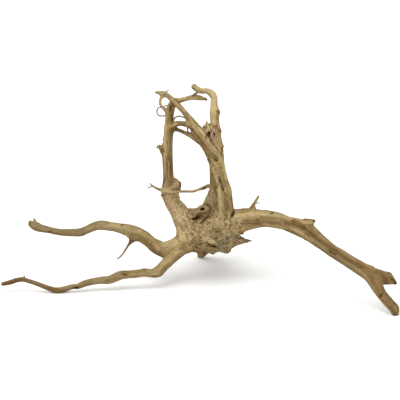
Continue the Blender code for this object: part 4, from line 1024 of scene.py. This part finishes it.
def wood_material(name, base, shade):
    """Bare, weathered wood. base is pale straw wood, shade its darker streaks."""
    material = bpy.data.materials.new(name)
    material.use_nodes = True
    tree = material.node_tree
    shader = tree.nodes["Principled BSDF"]
    shader.inputs["Specular IOR Level"].default_value = 0.15
    pale = tuple(min(c * f, 1) for c, f in zip(base, PALE_GAIN))
    middle = tuple((a + b) / 2 for a, b in zip(base, shade))

    streak = grain_noise(tree, 0.16, 0.011, 3.0)
    band = grain_noise(tree, 0.45, 0.028, 4.0, 0.6)
    fibre = grain_noise(tree, 1.3, 0.06, 5.0, 0.65)
    hair = grain_noise(tree, 3.0, 0.14, 4.0, 0.6)
    cloud = lump_noise(tree, 0.03)
    mottle = lump_noise(tree, 0.0034, 5.0, 0.65)
    speck = lump_noise(tree, 0.0022, 3.0)
    crumb = lump_noise(tree, 0.0019, 2.0)
    lumpy = times(tree, attribute(tree, "lumpy"), 0.75)

    # Streaks along the grain, over slow changes of tone
    tone = weighted(tree, (streak, 0.42), (band, 0.33), (cloud, 0.25))
    colour = ramp(tree, tone, [(0.37, shade), (0.45, middle), (0.51, base), (0.61, pale)])
    lines = ramp(tree, fibre, LINES)
    colour = over(tree, attribute(tree, "clear"), colour, lines, "MULTIPLY")

    # Mottled lumpy wood, and dark specks all over
    colour = over(tree, lumpy, colour, ramp(tree, mottle, MOTTLES))
    colour = over(tree, 0.7, colour, ramp(tree, speck, SPECKS), "MULTIPLY")

    # Patches of colour, the pale ones partly painted highlight; painted shade on undersides and in
    # hollows, and dark patches partly painted shade; crumbs on lumpy wood, and painted black shade in
    # holes
    fibre_streaks = arithmetic(tree, "ADD", fibre, 0.1)
    for key, tint in TINTS:
        amount = times(tree, attribute(tree, key), fibre_streaks, 1.5)
        colour = over(tree, amount, colour, tint)
    for key, tint, amount in SHADE_AND_STAINS:
        colour = over(tree, times(tree, attribute(tree, key), amount), colour, tint, "MULTIPLY")
    colour = over(tree, lumpy, colour, ramp(tree, crumb, CRUMBS), "MULTIPLY")
    # Painted black shade in the fine holes
    colour = over(tree, attribute(tree, "hole"), colour, HOLE_SHADE_COLOUR)
    tree.links.new(colour, shader.inputs["Base Color"])
    tree.links.new(ramp(tree, fibre, ROUGHNESS), shader.inputs["Roughness"])

    # Relief: fibres, finer fibres, and grit on lumpy wood
    grit = times(tree, arithmetic(tree, "ADD", mottle, crumb), lumpy)
    height = weighted(tree, (fibre, 0.9), (hair, 0.4), (band, 1.0), (grit, 3.0))
    bump = node(tree, "ShaderNodeBump", {"Strength": 0.9, "Distance": 0.0009, "Height": height})
    tree.links.new(bump.outputs["Normal"], shader.inputs["Normal"])
    shader.location = (1600, 900)
    tree.nodes["Material Output"].location = (1900, 900)
    return material


def dress(obj, material):
    obj.data.materials.clear()
    obj.data.materials.append(material)
    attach(obj, "root")
    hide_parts("spiderwood_root")


def make_wood():
    bare = wood_material("bare_wood_look", *BARE_COLOURS)
    twig = wood_material("twig_look", *TWIG_COLOURS)
    limbs = [follow(route) for route in LIMBS.values()]
    limbs += [follow(TWIGS[name]) for name in MELTED]
    dress(melt("wood", limbs), bare)
    sharp = [name for name in TWIGS if "splinter" in name or name == "spike_tip"]
    rest = [name for name in TWIGS if name not in MELTED + sharp] + ["hanging_twig"]
    splinters = [follow(TWIGS[name], FINE_STEPS) for name in sharp]
    dress(fine_tubes("splinters", splinters, flat=0.6, wobble=0.5, seed=3), bare)
    strands, tones = surface_fibres(limbs)
    dress(fine_tubes("surface_fibres", strands, flat=0.8, wobble=0.4, seed=5, tones=tones), bare)
    twigs = [follow(TWIGS[name], FINE_STEPS) for name in rest]
    for name, rows in zip(rest, twigs):
        rows[:, 3] = np.maximum(rows[:, 3], THICKER.get(name, TWIG_RADIUS))
    dress(fine_tubes("fine_twigs", twigs, wobble=0.35, seed=9), twig)


def make_stage():
    """Pale floor, soft light and the camera of the front view."""
    corners = [(-FLOOR_HALF, -FLOOR_HALF, 0), (FLOOR_HALF, -FLOOR_HALF, 0),
               (FLOOR_HALF, FLOOR_HALF, 0), (-FLOOR_HALF, FLOOR_HALF, 0)]
    floor = new_mesh("floor", corners, [(0, 1, 2, 3)])
    pale = bpy.data.materials.new("pale_floor")
    pale.use_nodes = True
    inputs = pale.node_tree.nodes["Principled BSDF"].inputs
    inputs["Base Color"].default_value = FLOOR_COLOUR
    inputs["Roughness"].default_value = 0.9
    inputs["Specular IOR Level"].default_value = 0.1
    floor.data.materials.append(pale)

    world = bpy.data.worlds.new("soft_room")
    world.use_nodes = True
    world.node_tree.nodes["Background"].inputs["Color"].default_value = (1, 1, 1, 1)
    world.node_tree.nodes["Background"].inputs["Strength"].default_value = 1.0
    bpy.context.scene.world = world
    for name, place, size, power in LIGHTS:
        light = bpy.data.lights.new(name, "AREA")
        light.shape = "DISK"
        light.size = size
        light.energy = power
        aim = Vector(LIGHT_TARGET) - Vector(place)
        lamp = new_object(name, light, place)
        lamp.rotation_euler = aim.to_track_quat("-Z", "Y").to_euler()

    camera = bpy.data.cameras.new("photo_view")
    camera.sensor_width = SENSOR_WIDTH
    camera.lens = SENSOR_WIDTH * VIEW_DISTANCE / VIEW_WIDTH
    camera.clip_start = 0.1
    camera.clip_end = 100
    place = Vector(stand((0, VIEW_CENTRE_UP, -VIEW_DISTANCE))) * MM
    eye = new_object("photo_view", camera, place)
    eye.rotation_euler = (math.pi / 2 - VIEW_TILT, 0, 0)
    bpy.context.scene.camera = eye
    bpy.context.scene.view_settings.view_transform = "Standard"


make_wood()
make_stage()
